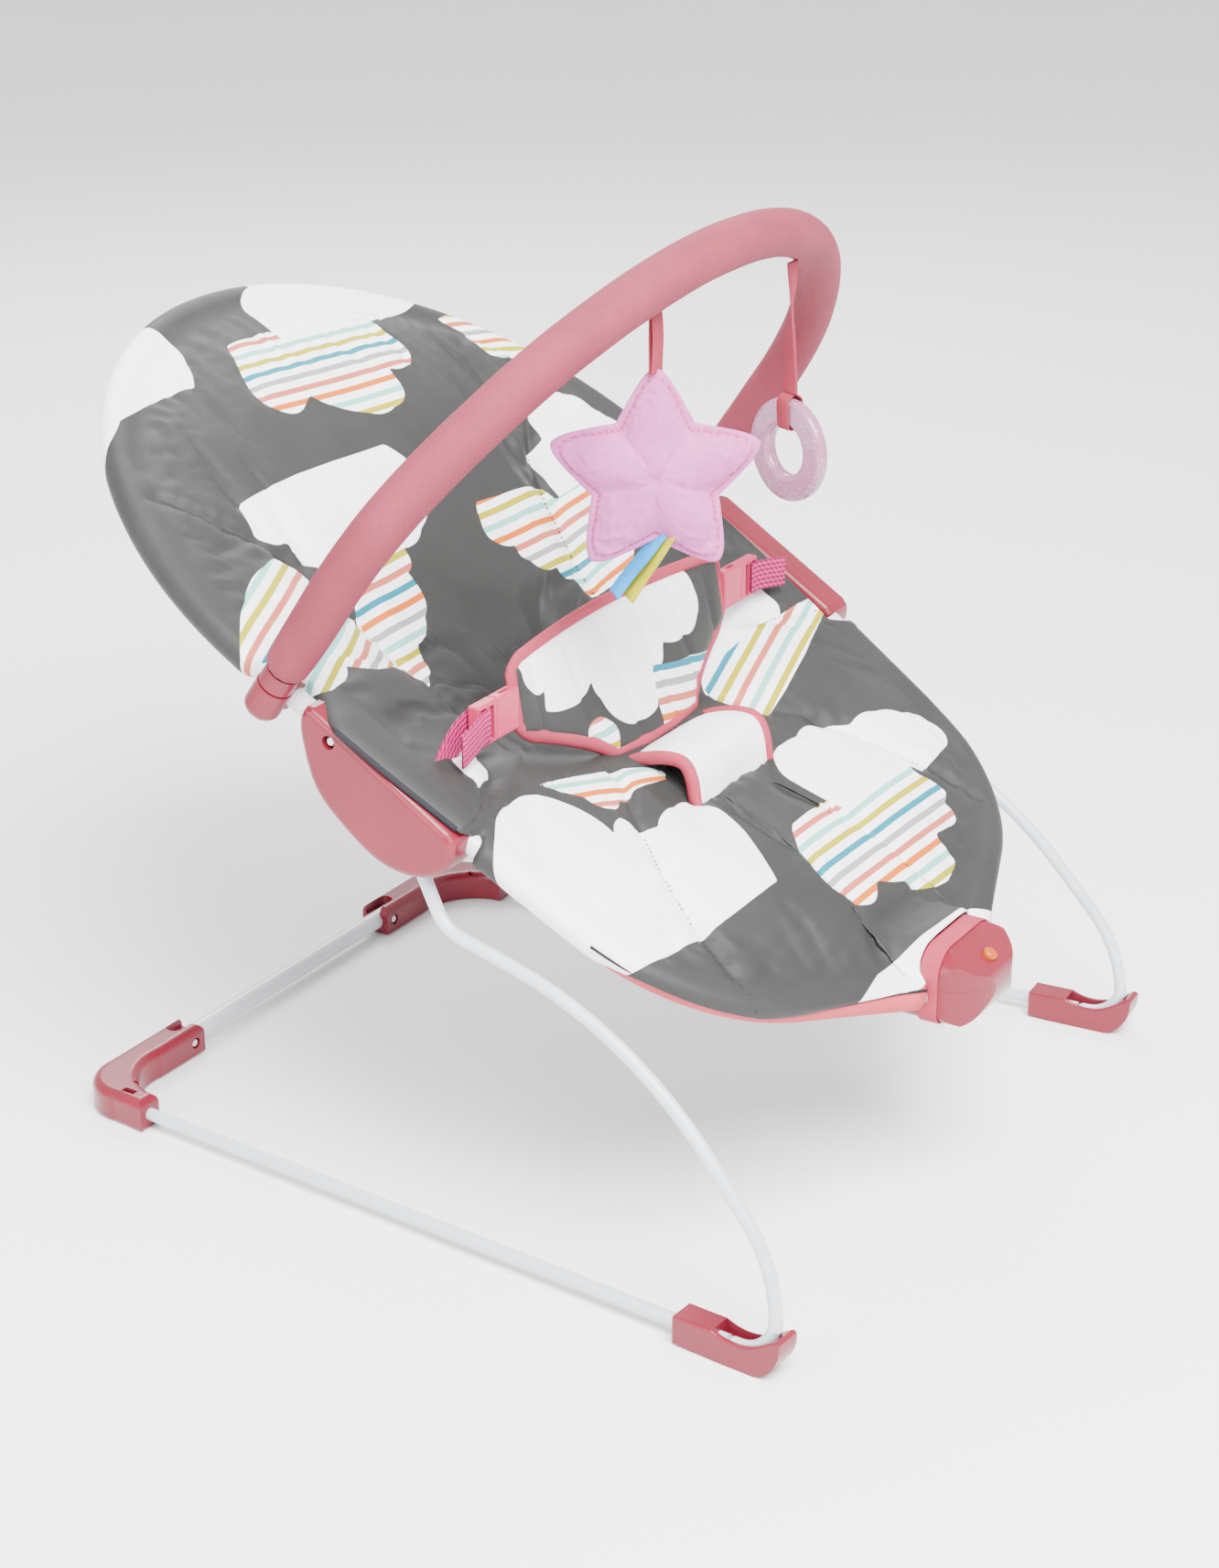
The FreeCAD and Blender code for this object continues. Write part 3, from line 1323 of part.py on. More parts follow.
# ---------------------------------------------------------------- assembly
def build():
    node("rear_crossbar", rear_crossbar())
    pair("rear_elbow", elbow())
    pair("crossbar_button", crossbar_snap())
    node("crossbar_button_springs", *crossbar_snap_springs())
    pair("floor_rod", floor_rod())
    pair("front_foot", front_foot())

    pair("leg_rod", leg_rod())
    node("head_tube", head_tube())
    node("foot_tube", foot_tube())
    pair("housing_cover", housing_outer())
    pair("housing_back", housing_inner())
    node("housing_screws", *housing_screws())
    pair("head_tube_button", hub_snap(head_snap_centre(), V(1, 0, 0)))
    pair("foot_tube_button", hub_snap(foot_snap_centre(), V(-1, 0, 0)))
    node("housing_button_springs", *hub_snap_springs())

    twins("toy_bar_clips", toy_clip())
    twins("toy_bar_plugs", bar_plug())
    node("toy_bar_core", toy_bar_core())
    node("toy_bar_sleeve", toy_bar_sleeve())
    node("star_strap", star_strap())
    node("star_cushion", star_plush())
    node("star_ribbons", *star_ribbons())
    node("teether_strap", teether_strap())
    node("teether_ring", teether_ring())

    node("vibration_case_top", unit_case_top())
    node("vibration_case_bottom", unit_case_bottom())
    node("vibration_case_screws", *unit_case_screws())
    node("battery_door", battery_door())
    node("battery_door_screw", door_screw())
    node("battery", battery())
    node("battery_spring", battery_spring())
    node("battery_plate", battery_plate())
    node("motor", motor())
    node("eccentric_weight", eccentric_weight())
    node("switch_board", switch_board())
    node("power_button", power_button())

    node("head_hem", head_hem())
    twins("foot_hems", foot_hem())
    node("toe_cover", toe_cover())
    node("toe_strap", toe_strap())
    node("back_cushion", back_cushion())
    node("seat_cushion", seat_cushion())
    node("restraint_panel", restraint_panel())
    node("crotch_strap", crotch_strap())
    twins("buckle_sockets", buckle_socket())
    pair("buckle_tongue", buckle_tongue())
    pair("waist_strap_tail", strap_tail())
    twins("waist_strap_anchors", strap_anchor())


build()
os.makedirs("parts", exist_ok=True)
for name, shape in made.items():
    shape.exportStep(os.path.join("parts", name + ".step"))
print(len(made), "sub-parts written")
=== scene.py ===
from math import atan2, cos, exp, hypot, log, pi, radians, sin, sqrt, tan

import bmesh
import bpy
import numpy as np
from mathutils import Matrix, Vector, noise


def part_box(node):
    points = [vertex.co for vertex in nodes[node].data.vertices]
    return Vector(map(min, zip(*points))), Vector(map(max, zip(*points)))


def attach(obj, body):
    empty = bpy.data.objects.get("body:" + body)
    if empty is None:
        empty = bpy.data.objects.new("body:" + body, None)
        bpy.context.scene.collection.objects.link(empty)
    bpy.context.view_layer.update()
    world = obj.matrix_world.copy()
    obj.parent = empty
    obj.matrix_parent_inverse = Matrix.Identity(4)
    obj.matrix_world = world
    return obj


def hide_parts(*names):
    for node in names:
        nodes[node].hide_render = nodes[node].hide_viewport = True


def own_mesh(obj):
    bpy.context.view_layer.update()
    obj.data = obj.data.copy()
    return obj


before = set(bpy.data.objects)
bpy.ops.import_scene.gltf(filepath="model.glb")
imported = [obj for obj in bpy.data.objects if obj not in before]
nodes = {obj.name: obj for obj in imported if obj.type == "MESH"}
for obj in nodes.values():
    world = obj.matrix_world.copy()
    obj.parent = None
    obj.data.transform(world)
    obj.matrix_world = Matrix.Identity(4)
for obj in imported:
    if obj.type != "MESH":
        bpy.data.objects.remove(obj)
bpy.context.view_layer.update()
MM = 0.001


# ---------------------------------------------------------------- camera, floor, light
def look_along(eye, forward, upward):
    """A camera's or lamp's placing from where it stands and what it faces."""
    back = -Vector(forward).normalized()
    side = Vector(upward).cross(back).normalized()
    up = back.cross(side)
    turn = Matrix((side, up, back)).transposed().to_4x4()
    return Matrix.Translation(eye) @ turn


def add_camera():
    data = bpy.data.cameras.new("camera")
    data.sensor_width = 36
    data.lens = 69.1
    data.clip_end = 20
    camera = bpy.data.objects.new("camera", data)
    bpy.context.collection.objects.link(camera)
    eye, forward, upward = (-1.4762, -0.9306, 0.9314), (0.7847, 0.4871, -0.3834), (0.3278, 0.1989, 0.9236)
    camera.matrix_world = look_along(eye, forward, upward)
    bpy.context.scene.camera = camera


def add_light(name, eye, aim, size, power):
    data = bpy.data.lights.new(name, "AREA")
    data.shape = "RECTANGLE"
    data.size, data.size_y = size
    data.energy = power
    lamp = bpy.data.objects.new(name, data)
    bpy.context.collection.objects.link(lamp)
    lamp.matrix_world = look_along(eye, Vector(aim) - Vector(eye), (0, 0, 1))


def add_studio():
    world = bpy.data.worlds.new("studio")
    world.use_nodes = True
    sky = world.node_tree.nodes["Background"].inputs
    sky["Color"].default_value = (1.0, 1.0, 1.0, 1)
    sky["Strength"].default_value = 1.35
    bpy.context.scene.world = world
    add_light("key", (-0.9, -1.2, 2.2), (0, 0, 0.3), (1.5, 1.5), 290)
    add_light("fill", (-2.2, 0.6, 1.2), (0, 0, 0.3), (1.5, 1.2), 40)
    add_light("rim", (1.6, 1.4, 1.9), (0, 0, 0.3), (1.2, 1.2), 60)


# ---------------------------------------------------------------- shader maths
class Wire:
    """A shader value that adds Math nodes when it is used in an expression."""

    def __init__(self, made, socket):
        self.made = made
        self.socket = socket

    def math(self, operation, *others):
        return self.made.put("ShaderNodeMath", {"operation": operation}, (self,) + others)[0]

    def __add__(self, other):
        return self.math("ADD", other)

    __radd__ = __add__

    def __sub__(self, other):
        return self.math("SUBTRACT", other)

    def __rsub__(self, other):
        return self.made.put("ShaderNodeMath", {"operation": "SUBTRACT"}, (other, self))[0]

    def __mul__(self, other):
        return self.math("MULTIPLY", other)

    __rmul__ = __mul__

    def __truediv__(self, other):
        return self.math("DIVIDE", other)

    def step(self, low, high):
        """0 below low, 1 above high, smooth between."""
        settings = {"interpolation_type": "SMOOTHSTEP"}
        sockets = {"Value": self, "From Min": low, "From Max": high}
        return self.made.put("ShaderNodeMapRange", settings, sockets)[0]


class Finish:
    """One procedural material under construction."""

    def __init__(self, name):
        self.material = bpy.data.materials.new(name)
        self.material.use_nodes = True
        self.tree = self.material.node_tree
        self.shader = self.tree.nodes["Principled BSDF"]

    def put(self, kind, settings=None, inputs=()):
        """Any node: its settings first, then the values or links of its sockets."""
        made = self.tree.nodes.new(kind)
        for key, value in (settings or {}).items():
            if key == "stops":
                ramp = made.color_ramp
                while len(ramp.elements) < len(value):
                    ramp.elements.new(0.5)
                for element, (place, colour) in zip(ramp.elements, value):
                    element.position = place
                    element.color = (*colour, 1)
            elif key == "ramp":
                made.color_ramp.interpolation = value
            else:
                setattr(made, key, value)
        pairs = inputs.items() if isinstance(inputs, dict) else enumerate(inputs)
        for key, value in pairs:
            self.feed(made.inputs[key], value)
        return [Wire(self, socket) for socket in made.outputs if socket.enabled]

    def feed(self, socket, value):
        if isinstance(value, Wire):
            self.tree.links.new(value.socket, socket)
        elif isinstance(value, (tuple, list)) and len(value) == 3 and socket.type == "RGBA":
            socket.default_value = (*value, 1)
        else:
            socket.default_value = value

    def set(self, **sockets):
        for key, value in sockets.items():
            self.feed(self.shader.inputs[key.replace("_", " ")], value)
        return self

    def place(self):
        return self.put("ShaderNodeTexCoord")[3]

    def uv(self):
        return self.put("ShaderNodeUVMap", {"uv_map": "cloth"})[0]

    def kept(self, name):
        """A number kept on the mesh."""
        return self.put("ShaderNodeAttribute", {"attribute_name": name})[2]

    def speckle(self, scale, detail):
        sockets = {"Vector": self.place(), "Scale": scale, "Detail": detail, "Roughness": 0.55}
        return self.put("ShaderNodeTexNoise", None, sockets)[0]

    def fraction(self, value):
        return self.put("ShaderNodeMath", {"operation": "FRACT"}, (value,))[0]

    def ribs(self, scale, where, direction="X", distortion=0.0):
        settings = {"wave_type": "BANDS", "bands_direction": direction}
        sockets = {"Vector": where, "Scale": scale, "Distortion": distortion}
        return self.put("ShaderNodeTexWave", settings, sockets)[1]

    def blend(self, share, low, high):
        inputs = {0: share, 6: low, 7: high}
        return Wire(self, self.put("ShaderNodeMix", {"data_type": "RGBA"}, inputs)[0].socket)

    def raised(self, height, strength, distance):
        sockets = {"Height": height, "Strength": strength, "Distance": distance}
        self.set(Normal=self.put("ShaderNodeBump", None, sockets)[0])
        return self


def shade(colour, amount):
    return tuple(min(channel * amount, 1.0) for channel in colour)


def moulded(name, colour, gloss=0.24, coat=0.12):
    """Injection-moulded plastic with faint mottling and a fine skin."""
    made = Finish(name)
    cloudy = made.speckle(18, 3)
    fine = made.speckle(900, 2)
    made.set(Base_Color=made.blend(cloudy.step(0.35, 0.7), shade(colour, 0.93), shade(colour, 1.06)))
    made.set(Roughness=gloss + cloudy * 0.10, Coat_Weight=coat, Coat_Roughness=0.12, Specular_IOR_Level=0.32)
    return made.raised(fine * 0.6 + cloudy * 0.4, 0.06, 0.0006).material


def coated_steel(name, colour):
    """Powder-coated steel with slight orange peel."""
    made = Finish(name)
    peel = made.speckle(420, 2)
    tone = made.speckle(9, 3)
    made.set(Base_Color=made.blend(tone.step(0.3, 0.7), shade(colour, 0.94), shade(colour, 1.04)))
    made.set(Roughness=0.26 + peel * 0.12, Coat_Weight=0.3, Coat_Roughness=0.2)
    return made.raised(peel, 0.10, 0.0004).material


def bright_steel(name):
    made = Finish(name)
    brushed = made.speckle(260, 4)
    made.set(Base_Color=made.blend(brushed, (0.50, 0.50, 0.52), (0.72, 0.72, 0.74)), Metallic=1.0)
    made.set(Roughness=0.22 + brushed * 0.18)
    return made.raised(brushed, 0.08, 0.0003).material


def plain_cloth(name, colour, rib, sheen, rough):
    """Close woven cloth: two crossed sets of fine ribs and uneven tone."""
    made = Finish(name)
    at = made.place()
    weave = made.ribs(rib, at, "X") * 0.5 + made.ribs(rib, at, "Y") * 0.5
    uneven = made.speckle(26, 4)
    fibre = made.speckle(620, 3)
    tone = uneven * 0.6 + fibre * 0.4
    made.set(Base_Color=made.blend(tone.step(0.3, 0.72), shade(colour, 0.86), shade(colour, 1.08)))
    made.set(Roughness=rough, Sheen_Weight=sheen * 0.35, Sheen_Roughness=0.4, Specular_IOR_Level=0.15)
    made.set(Sheen_Tint=shade(colour, 2.2))
    return made.raised(weave * 0.5 + fibre * 0.5 + uneven * 0.6, 0.25, 0.0008).material


GREY = (0.0250, 0.0256, 0.0246)
WHITE = (0.90, 0.90, 0.92)
AQUA = (0.20, 0.52, 0.46)
MUSTARD = (0.37, 0.32, 0.001)
BLUE = (0.001, 0.17, 0.24)
SILVER = (0.27, 0.27, 0.28)
CORAL = (0.47, 0.11, 0.075)
ORANGE = (0.56, 0.115, 0.0005)
PINK = (0.175, 0.011, 0.024)
SOFT_PINK = (0.215, 0.037, 0.057)
BIND_PINK = (0.34, 0.042, 0.070)
WEB_PINK = (0.36, 0.012, 0.11)

# the colours of the printed stripes, from the top down
stripe_order = [
    CORAL, AQUA, MUSTARD, BLUE, SILVER, CORAL, ORANGE, AQUA,
    MUSTARD, CORAL, BLUE, ORANGE, SILVER, AQUA, MUSTARD, CORAL,
    SILVER, ORANGE, MUSTARD, AQUA, ORANGE, CORAL, SILVER, MUSTARD,
    BLUE, AQUA, ORANGE, CORAL, AQUA, SILVER, BLUE, MUSTARD,
]


def printed_satin(name):
    """Grey satin printed with white and striped clouds; the sewn seams are darker."""
    made = Finish(name)
    white, striped, count, seam = (made.kept(key) for key in ("white", "striped", "stripe", "seam"))
    cloth = made.uv()
    weave = made.ribs(700, cloth, "X") * 0.5 + made.ribs(700, cloth, "Y") * 0.5
    uneven = made.speckle(14, 4)
    grain = made.speckle(500, 2)
    grey = made.blend(uneven.step(0.3, 0.7), shade(GREY, 0.90), shade(GREY, 1.12))
    pale = made.blend(uneven.step(0.3, 0.7), shade(WHITE, 0.96), shade(WHITE, 1.03))
    stops = [(i / len(stripe_order), colour) for i, colour in enumerate(stripe_order)]
    turn = made.fraction(count / len(stripe_order) + 1)
    bands = made.put("ShaderNodeValToRGB", {"ramp": "CONSTANT", "stops": stops}, (turn,))[0]
    within = made.fraction(count)
    inked = within.step(0.02, 0.06) * (1 - within.step(0.46, 0.50))
    lines = made.blend(inked, pale, bands)
    colour = made.blend(1 - white.step(-0.25, 0.25), grey, pale)
    colour = made.blend(1 - striped.step(-0.25, 0.25), colour, lines)
    thread = made.fraction(made.kept("dash"))
    stitch = (1 - seam.step(0.55, 1.2)) * thread.step(0.38, 0.46)
    colour = made.blend(stitch * 0.8, colour, (0.010, 0.010, 0.012))
    made.set(Base_Color=colour, Roughness=0.46 + grain * 0.12, Sheen_Weight=0.04, Sheen_Roughness=0.35)
    made.set(Specular_IOR_Level=0.28)
    folds = made.kept("crease")
    return made.raised(weave * 0.12 + grain * 0.10 + uneven * 0.5 + folds, 0.35, 0.0016).material


def ring_plastic(name):
    made = Finish(name)
    sockets = {"Vector": made.place(), "Scale": 520}
    glitter = made.put("ShaderNodeTexVoronoi", {"feature": "F1"}, sockets)[0]
    cloudy = made.speckle(40, 3)
    sparkle = 1 - glitter.step(0.16, 0.24)
    tone = made.blend(cloudy, (0.38, 0.14, 0.26), (0.52, 0.23, 0.38))
    made.set(Base_Color=made.blend(sparkle * 0.8, tone, (0.95, 0.85, 0.93)))
    made.set(Roughness=0.16 + cloudy * 0.12, Coat_Weight=0.5, IOR=1.46)
    made.set(Transmission_Weight=0.35, Subsurface_Weight=0.2)
    made.set(Subsurface_Radius=(0.01, 0.005, 0.007), Subsurface_Scale=0.5)
    return made.raised(cloudy, 0.08, 0.001).material


def webbing_weave(name, colour):
    """Herringbone webbing, its rib pitch taken from the cloth's own layout, with painted shade in the rib
    grooves and painted highlight on the ridges.
    """
    made = Finish(name)
    at = made.uv()
    long_rib = made.ribs(100, at, "X")
    cross_rib = made.ribs(130, at, "DIAGONAL")
    fibre = made.speckle(900, 3)
    ridge = long_rib * 0.6 + cross_rib * 0.4
    # painted shade and highlight: the colour follows the rib height, darker in the grooves and lighter on
    # the ridges, with random fibre tone mixed in
    tone = (ridge * 0.6 + fibre * 0.4).step(0.25, 0.75)
    made.set(Base_Color=made.blend(tone, shade(colour, 0.42), shade(colour, 1.5)), Roughness=0.62)
    made.set(Sheen_Weight=0.05, Sheen_Roughness=0.3, Specular_IOR_Level=0.2)
    return made.raised(ridge + fibre * 0.3, 0.5, 0.0008).material


def felt(name, colour):
    made = Finish(name)
    fuzz = made.speckle(350, 5)
    clumps = made.speckle(45, 3)
    stitch = made.kept("stitch")
    uneven = (fuzz * 0.5 + clumps * 0.5).step(0.3, 0.7)
    tone = made.blend(uneven, shade(colour, 0.86), shade(colour, 1.10))
    made.set(Base_Color=made.blend(stitch, tone, (0.36, 0.02, 0.09)), Roughness=0.85)
    made.set(Sheen_Weight=0.15, Sheen_Roughness=0.45, Sheen_Tint=(1.0, 0.75, 0.92))
    made.set(Specular_IOR_Level=0.2)
    return made.raised(fuzz * 0.4 + clumps * 0.25 - stitch * 0.8, 0.35, 0.0008).material


def board_green(name):
    made = Finish(name)
    tracks = made.ribs(260, made.place(), "X", 4.0)
    tone = made.blend(tracks.step(0.5, 0.6), (0.02, 0.12, 0.05), (0.05, 0.22, 0.10))
    made.set(Base_Color=tone, Roughness=0.4)
    return made.raised(tracks, 0.1, 0.0003).material


mouldings = {
    "pink": ("moulded_pink", PINK),
    "pink_satin": ("moulded_pink_buckle", (0.44, 0.028, 0.085), 0.30, 0.1),
    "orange": ("button_orange", (0.40, 0.070, 0.0005), 0.30, 0.05),
    "core": ("bar_core", (0.70, 0.68, 0.64), 0.5, 0.0),
    "battery": ("battery_jacket", (0.03, 0.12, 0.08), 0.25, 0.3),
    "brass": ("weight_brass", (0.45, 0.30, 0.10), 0.3, 0.0),
}
cloths = {
    "sleeve": ("sleeve_knit", SOFT_PINK, 1400, 0.45, 0.72),
    "binding": ("binding_pink", BIND_PINK, 1000, 0.3, 0.7),
    "hem": ("hem_pink", (0.50, 0.070, 0.090), 900, 0.3, 0.7),
    "tape": ("strap_tape", (0.26, 0.030, 0.050), 1100, 0.3, 0.7),
    "ribbon_blue": ("ribbon_blue", (0.002, 0.23, 0.55), 1200, 0.5, 0.45),
    "ribbon_yellow": ("ribbon_yellow", (0.36, 0.32, 0.001), 1200, 0.5, 0.45),
    "white_cloth": ("white_cloth", WHITE, 800, 0.2, 0.6),
    "dark_piping": ("dark_piping", (0.016, 0.017, 0.020), 900, 0.2, 0.7),
}
finish = {}


def make_finishes():
    for key, values in mouldings.items():
        finish[key] = moulded(*values)
    for key, values in cloths.items():
        finish[key] = plain_cloth(*values)
    finish["tube"] = coated_steel("coated_tube", (0.66, 0.68, 0.72))
    finish["rod"] = coated_steel("coated_rod", (0.50, 0.55, 0.60))
    finish["steel"] = bright_steel("bright_steel")
    finish["board"] = board_green("switch_board")
    finish["satin"] = printed_satin("printed_satin")
    finish["webbing"] = webbing_weave("pink_webbing", WEB_PINK)
    finish["felt"] = felt("star_felt", (0.47, 0.115, 0.33))
    finish["ring"] = ring_plastic("glitter_ring")


# CAD pieces of each finish; a name before "+" stands for its left and right ones
cad_finishes = {
    "pink": "rear_elbow+ front_foot+ housing_cover+ housing_back+ toy_bar_clips toy_bar_plugs"
            " vibration_case_top vibration_case_bottom battery_door",
    "pink_satin": "buckle_sockets buckle_tongue+",
    "orange": "power_button",
    "tube": "rear_crossbar head_tube foot_tube",
    "rod": "floor_rod+ leg_rod+",
    "steel": "crossbar_button+ head_tube_button+ foot_tube_button+ housing_screws vibration_case_screws"
             " battery_door_screw battery_spring battery_plate motor",
    "core": "toy_bar_core",
    "battery": "battery",
    "brass": "eccentric_weight",
    "board": "switch_board",
    "ring": "teether_ring",
}


def finish_cad():
    for key, words in cad_finishes.items():
        for word in words.split():
            both = [word[:-1] + "_left", word[:-1] + "_right"]
            for name in both if word.endswith("+") else [word]:
                slots = nodes[name].material_slots
                for slot in slots:
                    slot.material = finish[key]
                if not slots:
                    nodes[name].data.materials.append(finish[key])


# ---------------------------------------------------------------- mesh helpers
def clamp(value):
    return min(max(value, 0), 1)


def to_object(name, mesh_data, material, body, smooth=True):
    """Turn a bmesh into a finished piece that rides on a body."""
    mesh = bpy.data.meshes.new(name)
    mesh_data.to_mesh(mesh)
    mesh_data.free()
    piece = bpy.data.objects.new(name, mesh)
    bpy.context.collection.objects.link(piece)
    mesh.materials.append(material)
    for face in mesh.polygons:
        face.use_smooth = smooth
    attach(piece, body)
    return piece


def grid_mesh(columns, rows, place):
    """A grid whose points are placed by a function of two shares from 0 to 1."""
    made = bmesh.new()
    bmesh.ops.create_grid(made, x_segments=columns, y_segments=rows, size=0.5)
    layer = made.loops.layers.uv.new("cloth")
    shares = {vert: (vert.co.x + 0.5, vert.co.y + 0.5) for vert in made.verts}
    for face in made.faces:
        for loop in face.loops:
            loop[layer].uv = shares[loop.vert]
    for vert, (across, along) in shares.items():
        vert.co = place(across, along)
    return made


def closed(made, distance):
    """Join the points that meet, with every face looking outwards."""
    bmesh.ops.remove_doubles(made, verts=made.verts, dist=distance)
    bmesh.ops.recalc_face_normals(made, faces=made.faces)
    return made


def heading(line, index, ring=False):
    """The way that a line of points runs at one of them."""
    if ring:
        return line[(index + 1) % len(line)] - line[index - 1]
    return line[min(index + 1, len(line) - 1)] - line[max(index - 1, 0)]


def skin(made, rings, lay=None, ring=False, ends=True):
    """Faces between neighbouring rings of points, laid out flat by lay, and over both ends."""
    layer = made.loops.layers.uv.new("cloth") if lay else None
    verts = [[made.verts.new(point) for point in points] for points in rings]
    count, sides = len(rings), len(rings[0])
    for i in range(count if ring else count - 1):
        for j in range(sides):
            corners = [(i, j), (i, j + 1), (i + 1, j + 1), (i + 1, j)]
            face = made.faces.new([verts[a % count][b % sides] for a, b in corners])
            if lay:
                for loop, corner in zip(face.loops, corners):
                    loop[layer].uv = lay(*corner)
    if ends and not ring:
        made.faces.new(list(reversed(verts[0])))
        made.faces.new(verts[-1])
    return verts


def soften(piece, width):
    """Round the piece's edges a little."""
    bevel = piece.modifiers.new("edges", "BEVEL")
    bevel.width = width
    bevel.segments = 2
    return bevel


def band_piece(name, line, width_way, half, thickness, material, body, bevel=True):
    """A strap, tape or ribbon along a list of points, laid out flat for its weave."""
    rings, run = [], [0.0]
    for index, point in enumerate(line):
        way = width_way(index) if callable(width_way) else width_way
        face = heading(line, index).normalized().cross(way).normalized() * (thickness / 2)
        wide = way * half
        rings.append([point - wide - face, point + wide - face, point + wide + face, point - wide + face])
        if index:
            run.append(run[-1] + (point - line[index - 1]).length)
    across = (-half, half, half, -half)
    made = bmesh.new()
    skin(made, rings, lambda i, j: (across[j % 4], run[i]))
    bmesh.ops.recalc_face_normals(made, faces=made.faces)
    piece = to_object(name, made, material, body)
    if bevel:
        soften(piece, thickness * 0.35).limit_method = "ANGLE"
    return piece


def smooth_line(points, steps=8):
    """Points on a smooth curve through given points."""
    out = []
    ends = points[:1] + points + points[-1:]
    for p0, p1, p2, p3 in zip(ends, ends[1:], ends[2:], ends[3:]):
        for step in range(steps):
            t = step / steps
            a = 2 * p1 + (p2 - p0) * t + (2 * p0 - 5 * p1 + 4 * p2 - p3) * t * t
            out.append((a + (3 * p1 - p0 - 3 * p2 + p3) * t ** 3) * 0.5)
    return out + [points[-1].copy()]


def cord_piece(name, line, radius, material, sides=10, ring=False, flat=1.0, up=(0, 0, 1)):
    """Piping or binding on the seat: a rolled edge along a line, round or flattened."""
    rings = []
    turns = [2 * pi * turn / sides for turn in range(sides)]
    for index, point in enumerate(line):
        along = heading(line, index, ring).normalized()
        side = along.cross(Vector(up)).normalized()
        lift = side.cross(along).normalized()
        size = radius[index] if isinstance(radius, list) else radius
        rings.append([point + side * (size * cos(a)) + lift * (size * flat * sin(a)) for a in turns])
    made = bmesh.new()
    skin(made, rings, ring=ring)
    bmesh.ops.recalc_face_normals(made, faces=made.faces)
    return to_object(name, made, material, "seat")


CLOTH_FRAMES = 18


def simulate(piece, pressure, pinned, cap, spare, stiff, bend):
    """Blow the piece up a little with cloth, then keep the result in its mesh."""
    start = vectors_of(piece.data.vertices, "co")
    group = piece.vertex_groups.new(name="sewn")
    group.add([int(i) for i in np.nonzero(pinned)[0]], 1.0, "ADD")
    cloth = piece.modifiers.new("blown", "CLOTH")
    settings = {
        "quality": 5, "mass": 0.2, "air_damping": 2.0, "tension_stiffness": stiff,
        "compression_stiffness": stiff, "shear_stiffness": stiff * 0.5, "bending_stiffness": bend,
        "vertex_group_mass": "sewn", "use_pressure": True, "uniform_pressure_force": pressure,
        "shrink_min": -spare,
    }
    for key, value in settings.items():
        setattr(cloth.settings, key, value)
    cloth.settings.effector_weights.gravity = 0
    cloth.collision_settings.use_collision = False
    cloth.point_cache.frame_start = 1
    cloth.point_cache.frame_end = CLOTH_FRAMES
    scene = bpy.context.scene
    for number in range(1, CLOTH_FRAMES + 1):
        scene.frame_set(number)
    shape = piece.evaluated_get(bpy.context.evaluated_depsgraph_get()).to_mesh()
    move = vectors_of(shape.vertices, "co") - start
    far = np.linalg.norm(move, axis=1, keepdims=True)
    move *= np.minimum(1.0, cap / np.maximum(far, 1e-9))
    piece.modifiers.remove(cloth)
    piece.vertex_groups.remove(group)
    scene.frame_set(1)
    place_points(piece.data, start + move)


def keep(mesh, name, values):
    """Keep one number per point on the mesh for its material to read."""
    layer = mesh.attributes.get(name) or mesh.attributes.new(name, "FLOAT", "POINT")
    layer.data.foreach_set("value", np.asarray(values, np.float32))


def kept(mesh, name):
    """The numbers kept under a name, one per point."""
    values = np.zeros(len(mesh.vertices), np.float32)
    mesh.attributes[name].data.foreach_get("value", values)
    return values.astype(float)


def vectors_of(items, key):
    """Places or normals of many mesh items, one row each."""
    flat = np.zeros(len(items) * 3, np.float32)
    items.foreach_get(key, flat)
    return flat.reshape(-1, 3).astype(float)


def place_points(mesh, points):
    mesh.vertices.foreach_set("co", points.astype(np.float32).ravel())
    mesh.update()


def grid_piece(name, solid, layout, numbers, material, body):
    """A closed piece from a grid of points: their flat layout and numbers are kept with them."""
    columns, rows = solid.shape[0] - 1, solid.shape[1] - 1
    made = grid_mesh(columns, rows, lambda across, along: Vector((across, along, 0)))
    layers = {key: made.verts.layers.float.new(key) for key in numbers}
    spots = {vert: (round(vert.co.x * columns), round(vert.co.y * rows)) for vert in made.verts}
    cloth = made.loops.layers.uv["cloth"]
    for face in made.faces:
        for loop in face.loops:
            loop[cloth].uv = layout[spots[loop.vert]]
    for vert, spot in spots.items():
        vert.co = solid[spot]
        for key, layer in layers.items():
            vert[layer] = numbers[key][spot]
    return to_object(name, closed(made, 0.00002), material, body)


def halfway(values, axis, ring):
    """Put a new point between neighbours, on the smooth curve that runs through them."""
    values = np.moveaxis(values, axis, 0)
    if ring:
        padded = np.concatenate([values[-2:-1], values, values[1:2]])
    else:
        padded = np.concatenate([values[:1], values, values[-1:]])
    finer = np.zeros((2 * len(values) - 1,) + values.shape[1:])
    finer[::2] = values
    finer[1::2] = (9 * (padded[1:-2] + padded[2:-1]) - padded[:-3] - padded[3:]) / 16
    return np.moveaxis(finer, 0, axis)


def finer_grid(values):
    """Twice as many steps each way; the grid closes on itself round its first axis."""
    return halfway(halfway(values, 0, True), 1, False)


